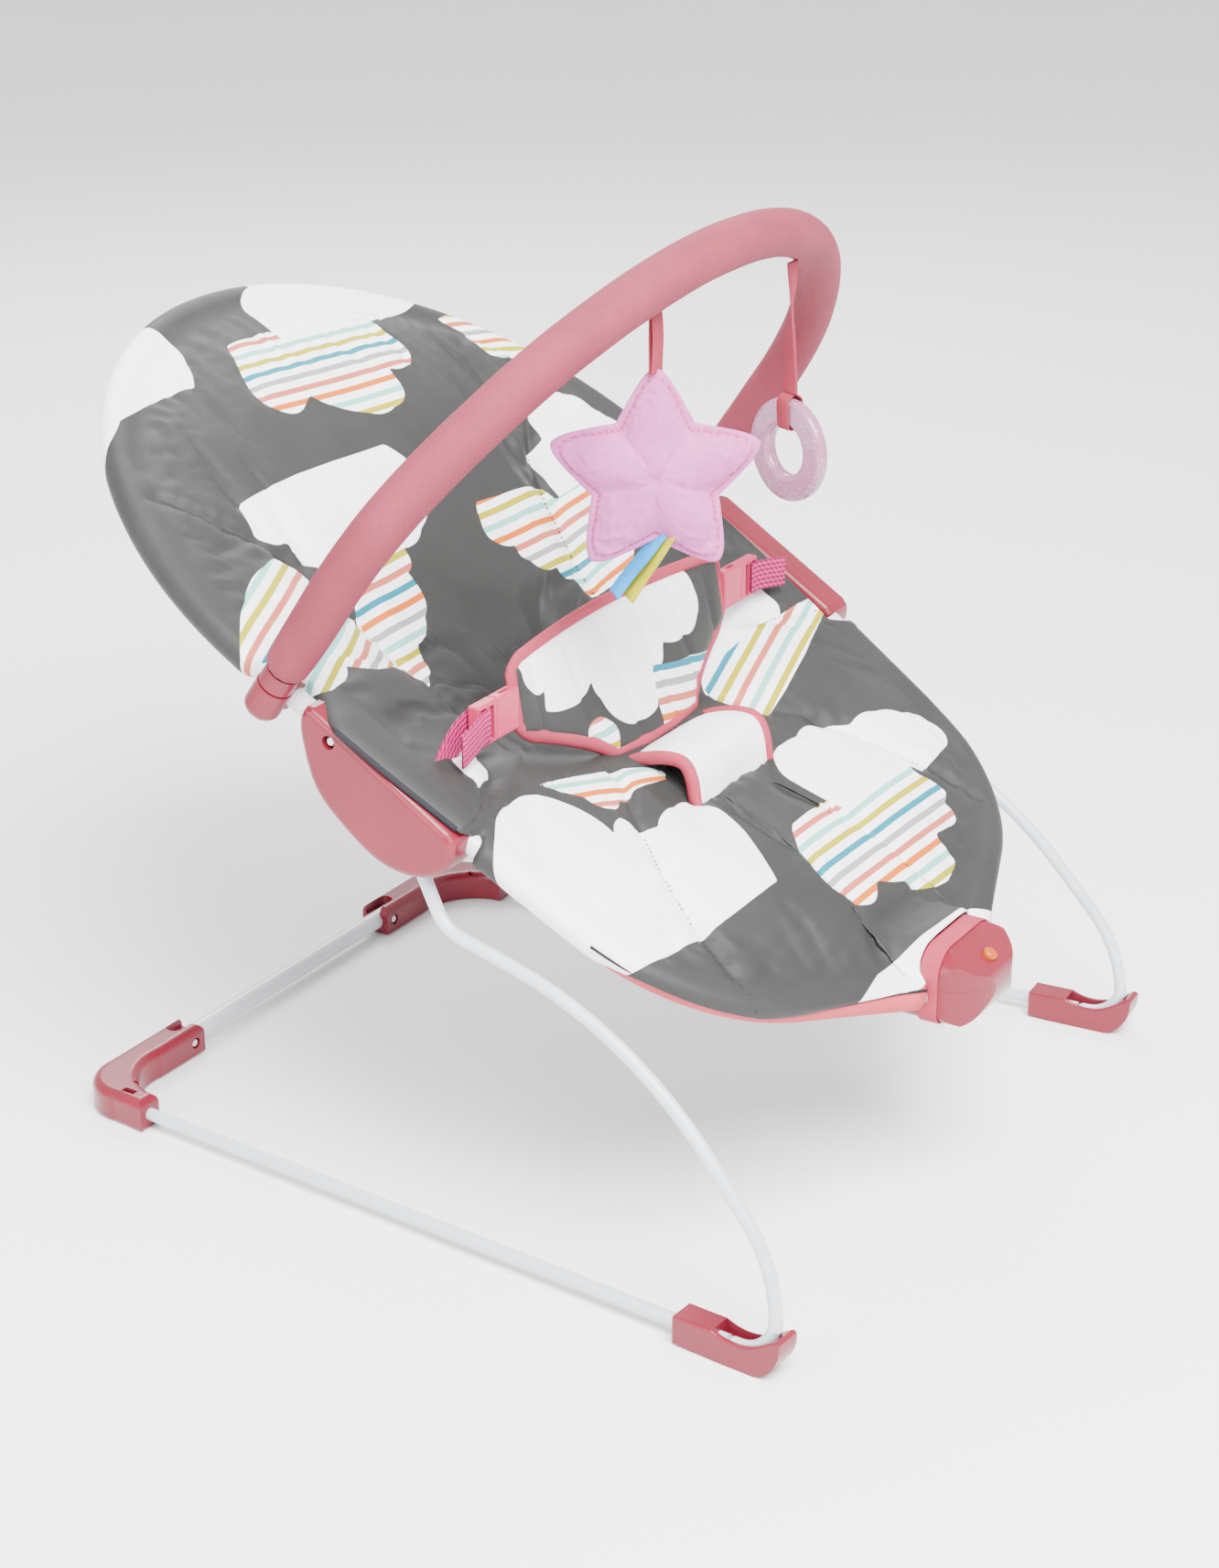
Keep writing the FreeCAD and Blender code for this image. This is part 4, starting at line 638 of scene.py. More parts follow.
def blown_grid(name, solid, layout, pinned, **ways):
    """Blow up a coarse copy with cloth and return its points as a grid."""
    columns, rows = solid.shape[0] - 1, solid.shape[1] - 1
    column, row = np.meshgrid(np.arange(columns + 1.0), np.arange(rows + 1.0), indexing="ij")
    numbers = {"column": column, "row": row, "pin": pinned.astype(float)}
    coarse = grid_piece(name, solid, layout, numbers, finish["hem"], "seat")
    mesh = coarse.data
    simulate(coarse, pinned=kept(mesh, "pin") > 0.5, **ways)
    found = solid.copy()
    at = np.rint(np.stack([kept(mesh, "column"), kept(mesh, "row")], axis=1)).astype(int)
    for (i, j), point in zip(at, vectors_of(mesh.vertices, "co")):
        across = slice(None) if j in (0, rows) else ([0, columns] if i in (0, columns) else i)
        found[across, j] = point
    bpy.data.objects.remove(coarse)
    bpy.data.meshes.remove(mesh)
    return found


# ---------------------------------------------------------------- the seat's own layout
SLOPE = radians(32.0)
HUB_Z = 295.6
HEAD_S, HEAD_R, HEAD_TILT = 109.0, 229.0, radians(4)
HUB_HALF, HUB_S = 222, -3
TOE_S, TOE_R, TOE_TILT, LEG_SPLAY = -310, 140, radians(24), radians(6.4)
seat_up = Vector((0, -sin(SLOPE), cos(SLOPE)))


def on_seat(x, s, h):
    """A place x across, s up the slope and h square above the tube line, in millimetres."""
    return Vector((x, s * cos(SLOPE) - h * sin(SLOPE), HUB_Z + s * sin(SLOPE) + h * cos(SLOPE))) * MM


def tube_outline():
    """The frame tubes' line seen square to the seat, as points from toe to head on the left."""
    half = []
    toe_slope, leg_slope = tan(TOE_TILT), tan(LEG_SPLAY)
    reach = (HUB_S - TOE_S - HUB_HALF * toe_slope) / (1 - leg_slope * toe_slope)
    corner = Vector((HUB_HALF - reach * leg_slope, HUB_S - reach))
    way_in = Vector((cos(TOE_TILT), sin(TOE_TILT)))
    way_out = Vector((sin(LEG_SPLAY), cos(LEG_SPLAY)))
    turn = way_in.angle(way_out)
    back = TOE_R * tan(turn / 2)
    start, end = corner - way_in * back, corner + way_out * back
    centre = corner + (way_out - way_in).normalized() * (TOE_R / cos(turn / 2))
    first = atan2(start.y - centre.y, start.x - centre.x)
    toe, leg_top = Vector((0, TOE_S)), Vector((HUB_HALF, HUB_S))
    leave = Vector((HEAD_R * cos(HEAD_TILT), HEAD_S - HEAD_R * sin(HEAD_TILT)))
    half += [toe.lerp(start, step / 16) for step in range(16)]
    for step in range(24):
        a = first + turn * step / 24
        half.append(centre + TOE_R * Vector((cos(a), sin(a))))
    half += [end.lerp(leg_top, step / 28) for step in range(28)]
    half += [leg_top.lerp(leave, step / 16) for step in range(16)]
    for step in range(61):
        a = (pi / 2 + HEAD_TILT) * step / 60 - HEAD_TILT
        half.append(Vector((HEAD_R * cos(a), HEAD_S + HEAD_R * sin(a))))
    return half


# how deep the middle of the cover sags, (s, depth)
depths = [
    (338, 3), (254, 13), (206, 22), (159, 32), (112, 44), (65, 54), (18, 58),
    (-12, 55), (-53, 38), (-82, 24), (-112, 14), (-160, 6), (-220, 3), (-310, 1),
]
depth_s, depth_d = np.array(depths[::-1], float).T


def depth_at(s):
    """Sag of the cover's middle at a place up the slope."""
    return float(np.interp(s, depth_s, depth_d))


def toe_rise(x, s):
    """Extra height where the cover climbs over the back of the vibration unit."""
    lift = float(np.interp(s, [-282, -278, -258, -251, -243], [19, 17, 4.8, 0.8, 0]))
    side = clamp((43 - abs(x)) / 20)
    return lift * side * side * (3 - 2 * side)


# sewn seams of the cover, (x, s) on the left side
seam_wing = [
    (215, 230), (203, 222), (187, 211), (165, 186), (144, 163),
    (128, 144), (116, 112), (106, 78), (97, 42), (88, 10),
]
seam_side = [(244, -64), (224, -64), (203, -58), (180, -48), (156, -40)]
seam_low = [(164, -250), (156, -226), (146, -191), (133, -164), (118, -138), (104, -120)]
seam_seat = [(44, -119), (0, -118)]


def seam_distance(points, seams):
    """Distance of many plan points from a set of seam lines, and the run along them."""
    best = np.full(len(points), 1e6)
    place = np.zeros(len(points))
    for line in seams:
        run = 0.0
        for (x0, s0), (x1, s1) in zip(line, line[1:]):
            a = np.array([x0, s0], float)
            span = np.array([x1 - x0, s1 - s0], float)
            length = np.hypot(*span)
            t = np.clip(((points - a) @ span) / length ** 2, 0, 1)
            gap = np.hypot(*(points - a - t[:, None] * span).T)
            nearer = gap < best
            best = np.where(nearer, gap, best)
            place = np.where(nearer, run + t * length, place)
            run += length
    return best, place


def lumps(flat, across, along, layer):
    """Soft noise over the flat layout, with the size of its lumps each way."""
    return np.array([noise.noise(Vector((x / across, s / along, layer))) for x, s in flat])


def both_sides(*lines):
    """The lines and their mirror images."""
    return list(lines) + [[(-x, s) for x, s in line] for line in lines]


# printed clouds: corners (x, s) or, where the edge to the next corner is bowed outwards, (x, s, bow)
white_clouds = [
    [(-80, 375), (-70, 334, 1), (-67, 310, 2), (-88, 276), (-132, 277), (-160, 273, 1), (-182, 262),
     (-262, 222), (-262, 375)],
    [(12, 298), (13, 318, 2), (22, 332, 1), (37, 338, 3), (42, 375), (262, 375), (240, 330), (158, 284, 1),
     (136, 279), (97, 279), (97, 284), (12, 286)],
    [(-134, 191), (-77, 195), (-40, 195), (12, 193, 2), (24, 168, 6), (-6, 136, 3), (-32, 129), (-100, 128),
     (-120, 142, 2), (-124, 158, 4), (-143, 170, 4)],
    [(127, 116), (127, 148), (147, 151, 3), (158, 175, 3), (190, 176, 4), (206, 150, 3), (222, 100),
     (200, 48), (150, 46), (126, 90)],
    [(62, -66, 2), (96, -42, 2), (132, -22, 3), (174, -8, 3), (178, -32, 2), (170, -50), (120, -58)],
    [(-139, 4, 3), (-168, -8, -1), (-181, -24, 1), (-186, -45), (-160, -39, -1), (-145, -20)][::-1],
    [(-178, -62, 6), (-140, -80, 4), (-131, -112, 2), (-113, -104, 2), (-111, -115, 1), (-93, -122, 3),
     (-68, -117, 3), (-46, -123, 3), (-39, -142, 1), (-50, -162), (-70, -193), (-146, -192), (-192, -187),
     (-240, -178), (-240, -110, 3), (-206, -73, 3)],
    [(37, -174), (35, -142, 3), (44, -125, 2), (60, -121, 1), (74, -123, 3), (100, -122, 2), (124, -136, 3),
     (148, -139, 2), (168, -150, 4), (189, -167, 4), (180, -184), (128, -190), (122, -183), (38, -180)],
    [(-118, -287), (-92, -277), (-60, -271), (54, -276), (70, -290), (60, -345), (-110, -345)],
]
# striped clouds: corners, the first stripe's place in the stripe order, its top edge s, how it leans
striped_clouds = [
    ([(-32, 298), (12, 298), (12, 287), (97, 284), (97, 262, 1), (98, 246, 3), (84, 236, 2), (66, 239),
      (64, 224, 4), (45, 213, 3), (20, 216, 1), (-2, 228, 1), (-14, 241), (-28, 234, 4), (-50, 240, 3),
      (-54, 258, 1)],
     0, 294.5, -0.07),
    ([(-100, 130), (-32, 131), (-33, 122, 2), (-43, 115, 1), (-43, 98, 2), (-56, 86, 3), (-80, 72, 1),
      (-84, 60, 2), (-90, 50, 3), (-98, 46, 2), (-103, 56), (-112, 90)],
     9, 122.5, 0.07),
    ([(53, 136), (90, 131), (122, 125), (124, 113), (150, 112), (160, 96, 3), (150, 64, 3), (136, 52, 3),
      (122, 46, 3), (98, 47, 2), (90, 52, 1), (92, 64, 3), (80, 76, 4), (64, 88, 3), (61, 101, 1),
      (50, 106, 4), (47, 124, 1)],
     18, 131.5, -0.05),
    ([(63, -76, 2), (68, -62, 2), (84, -52, 2), (135, -46), (170, -44), (232, -50), (232, -56), (200, -62),
      (150, -80), (110, -92), (84, -98, 2), (72, -90, 2)],
     27, -52.0, 0.31),
    ([(158, 264), (206, 268), (226, 225), (200, 206), (178, 214, 3), (166, 226, 2), (168, 246)],
     19, 262.0, -0.25),
    ([(-142, -62), (-95, -68), (-70, -76), (-35, -92), (-45, -98), (-78, -94, 2), (-96, -94, 3),
      (-113, -95, 2), (-120, -82, 1)],
     21, -57.0, -0.22),
    ([(-12, -170), (38, -168), (38, -179), (121, -180), (121, -190), (128, -200, 1), (130, -209, 1),
      (121, -214, 1), (119, -225, 2), (104, -228), (84, -227), (82, -243, 3), (70, -251, 2), (46, -253, 1),
      (27, -248, 2), (18, -239, 1), (-2, -229), (-12, -235, 3), (-29, -235, 3), (-34, -222, 2),
      (-38, -210, 1), (-34, -196, 1), (-24, -180, 1)],
     0, -174.0, 0.0),
]
wing_clouds = [
    ([(-262, 84), (-240, 98, 2), (-205, 127, 3), (-165, 145, 1), (-141, 150, 2), (-118, 136), (-96, 100),
      (-92, 44), (-108, 42), (-126, 58, 1), (-150, 55, 3), (-178, 64, 3), (-204, 53, 3), (-222, 56),
      (-262, 62)],
     8, 206.0, 0.42),
]
BOW_STEPS = 7
NO_INK = 50.0


def cloud_edge(corners):
    """Points round a cloud, its bowed edges broken into short lengths."""
    points = []
    for (x0, s0, *bow), (x1, s1, *_) in zip(corners, corners[1:] + corners[:1]):
        run = np.array([x1 - x0, s1 - s0], float)
        out = np.array([-run[1], run[0]]) / np.hypot(*run)
        steps = BOW_STEPS if bow else 1
        for step in range(steps):
            t = step / steps
            points.append(np.array([x0, s0]) + run * t + out * (4 * sum(bow) * t * (1 - t)))
    return points


def cloud_distance(points, corners):
    """Below zero inside the cloud, in millimetres."""
    edge = cloud_edge(corners)
    low, high = np.min(edge, axis=0) - 12, np.max(edge, axis=0) + 12
    near = np.all((points > low) & (points < high), axis=1)
    here = points[near]
    best = np.full(len(here), NO_INK)
    inside = np.zeros(len(here), bool)
    for a, b in zip(edge, edge[1:] + edge[:1]):
        span = b - a
        t = np.clip(((here - a) @ span) / (span @ span), 0, 1)
        best = np.minimum(best, np.hypot(*(here - a - t[:, None] * span).T))
        if a[1] != b[1]:
            level = (a[1] > here[:, 1]) != (b[1] > here[:, 1])
            inside ^= level & (here[:, 0] < a[0] + (here[:, 1] - a[1]) * span[0] / span[1])
    gap = np.full(len(points), NO_INK)
    gap[near] = np.where(inside, -best, best)
    return gap


STRIPE_PITCH, STITCH_PITCH = 9.2, 3.6
WING_LOW, WING_TOP = 8, 232


def lay_print(mesh, whites, stripes, seams, wing_stripes=()):
    """Keep the print's distances on the mesh: white clouds, striped clouds and stitching."""
    plan = np.stack([kept(mesh, "lie_x"), kept(mesh, "lie_s")], axis=1)
    x, s = plan.T
    gap, run = seam_distance(plan, seams)
    white = np.min([cloud_distance(plan, corners) for corners in whites], axis=0)
    striped = np.full(len(plan), NO_INK)
    count = np.zeros(len(plan))
    seam_x, seam_s = np.array(seam_wing[::-1]).T
    in_wing = (x < -np.interp(s, seam_s, seam_x)) & (s < WING_TOP) & (s > WING_LOW)
    for group, inside in ((stripes, ~in_wing), (wing_stripes, in_wing)):
        for corners, first, start, lean in group:
            near = np.where(inside, cloud_distance(plan, corners), NO_INK)
            here = (start - s + lean * x) / STRIPE_PITCH / sqrt(1 + lean ** 2) + first
            count = np.where(near < striped, here, count)
            striped = np.minimum(striped, near)
    dash = run / STITCH_PITCH + 10
    numbers = {"white": white, "striped": striped, "stripe": count, "seam": gap, "dash": dash}
    for name, values in numbers.items():
        keep(mesh, name, values)


# ---------------------------------------------------------------- the quilted cover
RING_TOP, RING_BOTTOM = 36, 16
AROUND = 264
# height of the cover's face at its rim, its thickness, and how far aside its underside is laid out,
# where no print falls on it
FACE_H, CLOTH_THICK, UNDER_X = 8.0, 10.0, 900
cover_seams = both_sides(seam_wing, seam_side, seam_low, seam_seat)


def cover_rim():
    """Evenly spaced points of the cover's rim with their outward way, all the way round."""
    left = [p for p in tube_outline() if p.x > 38 or p.y > 0]
    left = [Vector(place) for place in ((0, -278), (16, -278), (30, -279), (37, -285))] + left
    loop = left + [Vector((-p.x, p.y)) for p in reversed(left[1:-1])]
    loop.append(loop[0])
    runs = np.cumsum([0.0] + [(b - a).length for a, b in zip(loop, loop[1:])])
    at = np.linspace(0, runs[-1], AROUND + 1)
    points = np.stack([np.interp(at, runs, [p[axis] for p in loop]) for axis in (0, 1)], axis=1)
    points[-1] = points[0]
    ahead = np.roll(points[:-1], -1, axis=0) - np.roll(points[:-1], 1, axis=0)
    ahead /= np.hypot(*ahead.T)[:, None]
    out = np.stack([ahead[:, 1], -ahead[:, 0]], axis=1)
    return points, np.vstack([out, out[:1]])


# how the cover ends at its rim: (outwards from the tube line, height) going over the edge
wrap_edge = [
    (-9, 8.3), (-4, 9.0), (0, 9.0), (4.6, 7.9), (7.8, 4.6), (9.0, 0), (7.8, -4.6), (4.0, -8.2), (-1, -9.0),
]
inside_edge = [
    (-19, 7.6), (-15, 8.2), (-12.4, 7.6), (-11, 5.8), (-10.6, 3),
    (-10.6, 0), (-10.8, -2), (-11.2, -4), (-13, -5),
]
over_edge = [
    (-16, 11.0), (-9, 13.0), (-2, 14.0), (5, 14.0), (10.6, 12.6),
    (13.0, 10.9), (10, 10.3), (0, 10.2), (-12.5, 9.6),
]
hem_edge = [
    (-9, 8.6), (-4, 9.9), (1, 10.3), (6, 9.2), (9.2, 6.2), (10.4, 2.4), (9.6, 1.6), (6, 1.4), (1, 1.2),
]
low_edge = [
    (-10, 8.8), (-6, 9.9), (-2, 10.6), (2, 10.8), (5.0, 10.2), (4.4, 9.2), (0, 8.9), (-5, 7.8), (-9.5, 2.0),
]
toe_edge = [
    (-9, 10.5), (-6, 10.5), (-3, 10.4), (-1, 9.8), (0, 9.0), (-1, 8.2), (-3, 7.8), (-6, 7.8), (-9, 7.6),
]
EDGE_ROWS = len(wrap_edge)


def mix_edges(a, b, share):
    return [(p[0] + (q[0] - p[0]) * share, p[1] + (q[1] - p[1]) * share) for p, q in zip(a, b)]


def edge_profile(x, s):
    """The rim's section, fading from one kind to the next along the side."""
    if s < -270 and abs(x) < 52:
        return mix_edges(toe_edge, low_edge, clamp((abs(x) - 36) / 12))
    if s < -200:
        return mix_edges(low_edge, hem_edge, clamp((abs(x) - 60) / 90))
    housing = over_edge if x < 0 else inside_edge
    stops = [
        (-190, hem_edge), (-160, wrap_edge), (-75, wrap_edge), (-71, inside_edge), (-64, housing),
        (30, housing), (61, inside_edge), (80, inside_edge), (90, wrap_edge), (400, wrap_edge),
    ]
    if s <= stops[0][0]:
        return hem_edge
    for (s0, a), (s1, b) in zip(stops, stops[1:]):
        if s <= s1:
            return mix_edges(a, b, (s - s0) / (s1 - s0))
    return wrap_edge


def cover_height(x, s, share):
    """Height of the cover's face inside its rim."""
    sag = depth_at(s) * (1 - share ** 2) ** 1.5
    return FACE_H - sag + toe_rise(x, s)


def cover_grid():
    """The cover from its middle over the rim and back: flat layout and points of every row."""
    rim, out = cover_rim()
    middle = np.array([0.0, 10.0])
    rows = RING_TOP + EDGE_ROWS + RING_BOTTOM
    plan = np.zeros((AROUND + 1, rows + 1, 2))
    solid = np.zeros((AROUND + 1, rows + 1, 3))
    for i in range(AROUND + 1):
        profile = edge_profile(*rim[i])
        start = rim[i] + out[i] * profile[0][0]
        end = rim[i] + out[i] * profile[-1][0]
        for row in range(RING_TOP):
            share = (row / RING_TOP) ** 0.85
            x, s = middle + (start - middle) * share
            h = cover_height(x, s, share) + (profile[0][1] - FACE_H) * share ** 8
            plan[i, row] = (x, s)
            solid[i, row] = on_seat(x, s, h)
        run = 0.0
        for row, (away, h) in enumerate(profile, RING_TOP):
            x, s = rim[i] + out[i] * away
            if row > RING_TOP:
                before = profile[row - RING_TOP - 1]
                run += hypot(away - before[0], h - before[1])
            plan[i, row] = start + out[i] * run
            solid[i, row] = on_seat(x, s, h + toe_rise(x, s))
        for row in range(RING_BOTTOM + 1):
            share = 1 - row / RING_BOTTOM
            x, s = middle + (end - middle) * share
            under = cover_height(x, s, share) - CLOTH_THICK
            low = profile[-1][1] + toe_rise(x, s)
            plan[i, RING_TOP + EDGE_ROWS + row] = (x + UNDER_X, s)
            solid[i, RING_TOP + EDGE_ROWS + row] = on_seat(x, s, under + (low - under) * share ** 10)
    return plan, solid


def cover_folds(x, s):
    """Seam grooves, puckers and soft folds of the cover's face, as heights in millimetres."""
    flat = np.stack([x, s], axis=1)
    gap, run = seam_distance(flat, cover_seams)
    groove = 1.6 * np.exp(-((gap - 12) / 8.0) ** 2) - 2.2 * np.exp(-(gap / 3.6) ** 2)
    pucker = 0.4 * np.sin(run * 2 * pi / 11 + np.sin(run / 9)) * np.exp(-((gap - 6) / 5.0) ** 2)
    soft = 1.6 * lumps(flat, 40, 70, 3.0) + 0.8 * lumps(flat, 90, 30, 9.0)
    low = np.clip((40 - s) / 160, 0, 1)
    waver = lumps(flat, 70, 45, 6.0)
    near_toe = np.clip((-196 - s) / 20, 0, 1)
    drawn = 0.75 * np.sin(s * 2 * pi / 12 + 5 * waver) * near_toe * (0.5 + waver)
    pressed = -7.0 * np.exp(-((np.abs(x) - 168) / 30) ** 2 - ((s - 8) / 26) ** 2)
    return groove + pucker + soft * (0.45 + 0.5 * low) + drawn + pressed


def make_cover():
    """Quilted cover of back, seat and toe in one piece, blown up between its seams and printed."""
    plan, solid = cover_grid()
    gap = seam_distance(plan.reshape(-1, 2), cover_seams)[0]
    rank = np.tile(np.arange(float(plan.shape[1])), (AROUND + 1, 1))
    pinned = (gap.reshape(rank.shape) < 4.0) | (rank >= RING_TOP - 1)
    ways = {"pressure": 2.6, "cap": 0.010, "spare": 0.016, "stiff": 6.0, "bend": 0.15}
    solid = blown_grid("cover_pattern", solid, plan * MM, pinned, **ways)
    solid, plan, rank = finer_grid(solid), finer_grid(plan), finer_grid(rank)
    numbers = {"lie_x": plan[..., 0], "lie_s": plan[..., 1], "row": rank}
    cover = grid_piece("seat_cover", solid, plan * MM, numbers, finish["satin"], "seat")
    mesh = cover.data
    x, s = kept(mesh, "lie_x"), kept(mesh, "lie_s")
    top = np.clip((RING_TOP + 2 - kept(mesh, "row")) / 3, 0, 1)
    lift = (cover_folds(x, s) * top * MM)[:, None]
    place_points(mesh, vectors_of(mesh.vertices, "co") + vectors_of(mesh.vertex_normals, "vector") * lift)
    lay_print(mesh, white_clouds, striped_clouds, cover_seams, wing_clouds)
    flat = np.stack([x, s], axis=1)
    keep(mesh, "crease", 0.6 * lumps(flat, 11, 40, 1.0) + 0.4 * lumps(flat, 50, 9, 5.0))
    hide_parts("back_cushion", "seat_cushion", "head_hem", "toe_cover")


def make_side_piping():
    """Dark cord along the cover's edge over the near housing."""
    edge = []
    for step in range(34):
        s = 28 - 88 * step / 33
        splay = tan(HEAD_TILT if s > HUB_S else LEG_SPLAY)
        edge.append(on_seat(-235.0 - (s - HUB_S) * splay, s, 10.9))
    piping = cord_piece("side_piping", edge, 1.7 * MM, finish["dark_piping"])


def make_foot_hems():
    """Pink edge of the cover folded round the foot tube, widening towards the toe."""
    line = [p for p in tube_outline() if p.x > 37.5 and p.y < -150]
    for side, word in ((1, "left"), (-1, "right")):
        reach = [clamp((110 - p.x) / 70) for p in line]
        spine = [on_seat(side * (p.x - 0.5 * r), p.y + 0.6 * r, 0.5 * r) for p, r in zip(line, reach)]
        sizes = [(8.4 + 1.7 * r) * MM for r in reach]
        hem = cord_piece("foot_hem_" + word, spine, sizes, finish["hem"], sides=24, up=seat_up)
        if side > 0:
            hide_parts("foot_hems")
        edge = []
        for index, p in enumerate(line):
            share = clamp((p.x - 60) / 90)
            out = heading(line, index).normalized()
            away = 4.6 + 4.4 * share
            edge.append(on_seat(side * (p.x + out.y * away), p.y - out.x * away, 9.6 - 7.2 * share))
        trim = cord_piece("foot_hem_stitching_" + word, edge, 0.8 * MM, finish["dark_piping"], sides=8)


# ---------------------------------------------------------------- restraint
PANEL_HALF, PANEL_TOP, PANEL_LOW, PANEL_T = 120.0, 331.0, 252.0, 9.0
PANEL_END, CHANNEL_WIDE, CROTCH_HALF = 104.0, 40.0, 47.0

# the panel's print has no stitching: its only seam lies far away
far_seams = [[(900, 900), (901, 900)]]
# printed clouds of the panel, placed by x and z
panel_whites = [
    [(-112, 345), (-112, 322, 1), (-106, 309, 2), (-97, 304, 1), (-92, 308), (-96, 294, 1), (-76, 290, 1),
     (-58, 292, 1), (-48, 299), (-46, 287, 2), (-36, 271, 2), (-18, 266, 2), (2, 268, 1), (10, 276),
     (15, 287), (24, 287), (33, 298, 1), (60, 294, 2), (80, 300, 3), (86, 312, 2), (80, 345)][::-1],
]
panel_stripes = [
    ([(13, 289), (40, 284), (62, 281), (112, 272), (90, 240), (0, 240), (4, 268)], 3, 292.0, -0.18),
    ([(-66, 268, 3), (-60, 276, 3), (-46, 274, 3), (-43, 262, 2), (-52, 250)], 1, 276.0, 0.1),
]


def panel_face(x, z):
    """How far forward the middle of the panel's thickness lies."""
    share = min((x / PANEL_HALF) ** 2, 1.0)
    lean = 27.0 - 19.0 * share
    return -16.0 - 8.0 * share - (PANEL_TOP - z) * tan(radians(lean)) + PANEL_T / 2


def panel_low(x):
    drop = clamp((abs(x) - CROTCH_HALF) / (PANEL_HALF - CROTCH_HALF))
    return PANEL_LOW + 33.0 * drop ** 0.7


def panel_outline():
    """Half of the panel's outline, over its top edge and back along its low one."""
    half, low = [], []
    reach = PANEL_HALF * 0.985
    for step in range(31):
        x = reach * sin(pi / 2 * step / 30)
        corner = max((x - PANEL_END) / 16, 0) ** 2
        half.append(Vector((x, PANEL_TOP - 3.0 * (x / PANEL_HALF) ** 2 - 6.0 * corner)))
        x = reach * (1 - step / 30)
        corner = max((x - PANEL_END) / 16, 0) ** 2
        low.append(Vector((x, panel_low(x) + 1.0 + 8.0 * corner)))
    return half + [half[-1].lerp(low[0], 0.5)] + low


def make_panel():
    """Quilted waist panel with its print, padded between sewn channels."""
    columns, rows = 96, 34
    half_t = PANEL_T / 2

    def face_at(across, along, front):
        x = (across * 2 - 1) * (PANEL_HALF - 2.5)
        top = PANEL_TOP - 2.5 - 3.0 * (x / PANEL_HALF) ** 2
        low = panel_low(x) + 2.5
        z = low + (top - low) * along
        edge = min(across, 1 - across) * 2 * PANEL_HALF
        rim = min(edge, (top - low) * min(along, 1 - along)) / 9.0
        puff = sqrt(max(1 - (1 - min(rim, 1)) ** 2, 0)) * 0.8 + 0.2
        channel = abs((x / CHANNEL_WIDE + 1.5) % 1 - 0.5) * 2
        quilt = 1 - 0.35 * exp(-((1 - channel) / 0.16) ** 2)
        return Vector((x, panel_face(x, z) + front * half_t * puff * quilt, z)) * MM

    made = bmesh.new()
    for front in (-1, 1):
        sheet = grid_mesh(columns, rows, lambda a, b, f=front: face_at(a, b, f))
        mesh = bpy.data.meshes.new("panel_part")
        sheet.to_mesh(mesh)
        sheet.free()
        made.from_mesh(mesh)
        bpy.data.meshes.remove(mesh)
    bmesh.ops.bridge_loops(made, edges=[e for e in made.edges if e.is_boundary])
    panel = to_object("waist_panel", closed(made, 0.00005), finish["satin"], "seat")
    mesh = panel.data
    x, z = vectors_of(mesh.vertices, "co")[:, [0, 2]].T / MM
    keep(mesh, "lie_x", x)
    keep(mesh, "lie_s", z)
    lay_print(mesh, panel_whites, panel_stripes, far_seams)
    keep(mesh, "crease", 0.6 * lumps(np.stack([x, z], axis=1), 9, 26, 2.0))
    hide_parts("restraint_panel")
    outline = panel_outline()
    loop = outline + [Vector((-p.x, p.y)) for p in reversed(outline[1:-1])]
    line = [Vector((p.x, panel_face(p.x, p.y), p.y)) * MM for p in loop]
    ways = {"sides": 14, "ring": True, "flat": 0.62, "up": (0, 1, 0.2)}
    trim = cord_piece("panel_binding", line, 4.6 * MM, finish["binding"], **ways)


def crotch_line():
    """The strip's middle line seen from the side, from the panel over the hump to the seat."""
    points = [
        (-55.5, 251.5), (-64, 256), (-78, 260), (-90, 260.5),
        (-96, 257), (-99.5, 249), (-101, 240), (-102, 233.5),
    ]
    return smooth_line([Vector((0, y, z - 3.4)) * MM for y, z in points], 5)


def make_crotch_strap():
    """Padded strip that rises over a hump and is sewn down to the seat."""
    line = crotch_line()
    count = len(line)
    half = CROTCH_HALF - 3.5
    around = 40

    def section(across, along):
        index = along * (count - 1)
        low = int(min(index, count - 2))
        centre = line[low].lerp(line[low + 1], index - low)
        ahead = (line[low + 1] - line[low]).normalized()
        up = Vector((1, 0, 0)).cross(ahead)
        a = 2 * pi * across
        wide = half * (abs(cos(a)) ** 0.5) * (1 if cos(a) > 0 else -1)
        thick = 3.3 * (abs(sin(a)) ** 0.7) * (1 if sin(a) > 0 else -1)
        return centre + Vector((wide, 0, 0)) * MM + up * (thick * MM)

    made = grid_mesh(around, 44, section)
    bmesh.ops.remove_doubles(made, verts=made.verts, dist=0.0001)
    bmesh.ops.holes_fill(made, edges=[e for e in made.edges if e.is_boundary])
    bmesh.ops.recalc_face_normals(made, faces=made.faces)
    strap = to_object("crotch_strip", made, finish["white_cloth"], "seat")
    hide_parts("crotch_strap")
    for side, word in ((1, "left"), (-1, "right")):
        edge = [p + Vector((side * (CROTCH_HALF - 3.2) * MM, 0, 0)) for p in line]
        ways = {"sides": 12, "flat": 0.8, "up": (1, 0, 0)}
        trim = cord_piece("crotch_binding_" + word, edge, 4.4 * MM, finish["binding"], **ways)


# ---------------------------------------------------------------- straps and webbing
WEBBING_HALF, WEBBING_THICK, SEWN_HALF, SEWN_THICK = 0.0100, 0.0014, 0.0098, 0.0013
TAPE_HALF, TAPE_THICK, LOOP_HALF, LOOP_THICK = 0.0058, 0.0009, 0.0050, 0.0012


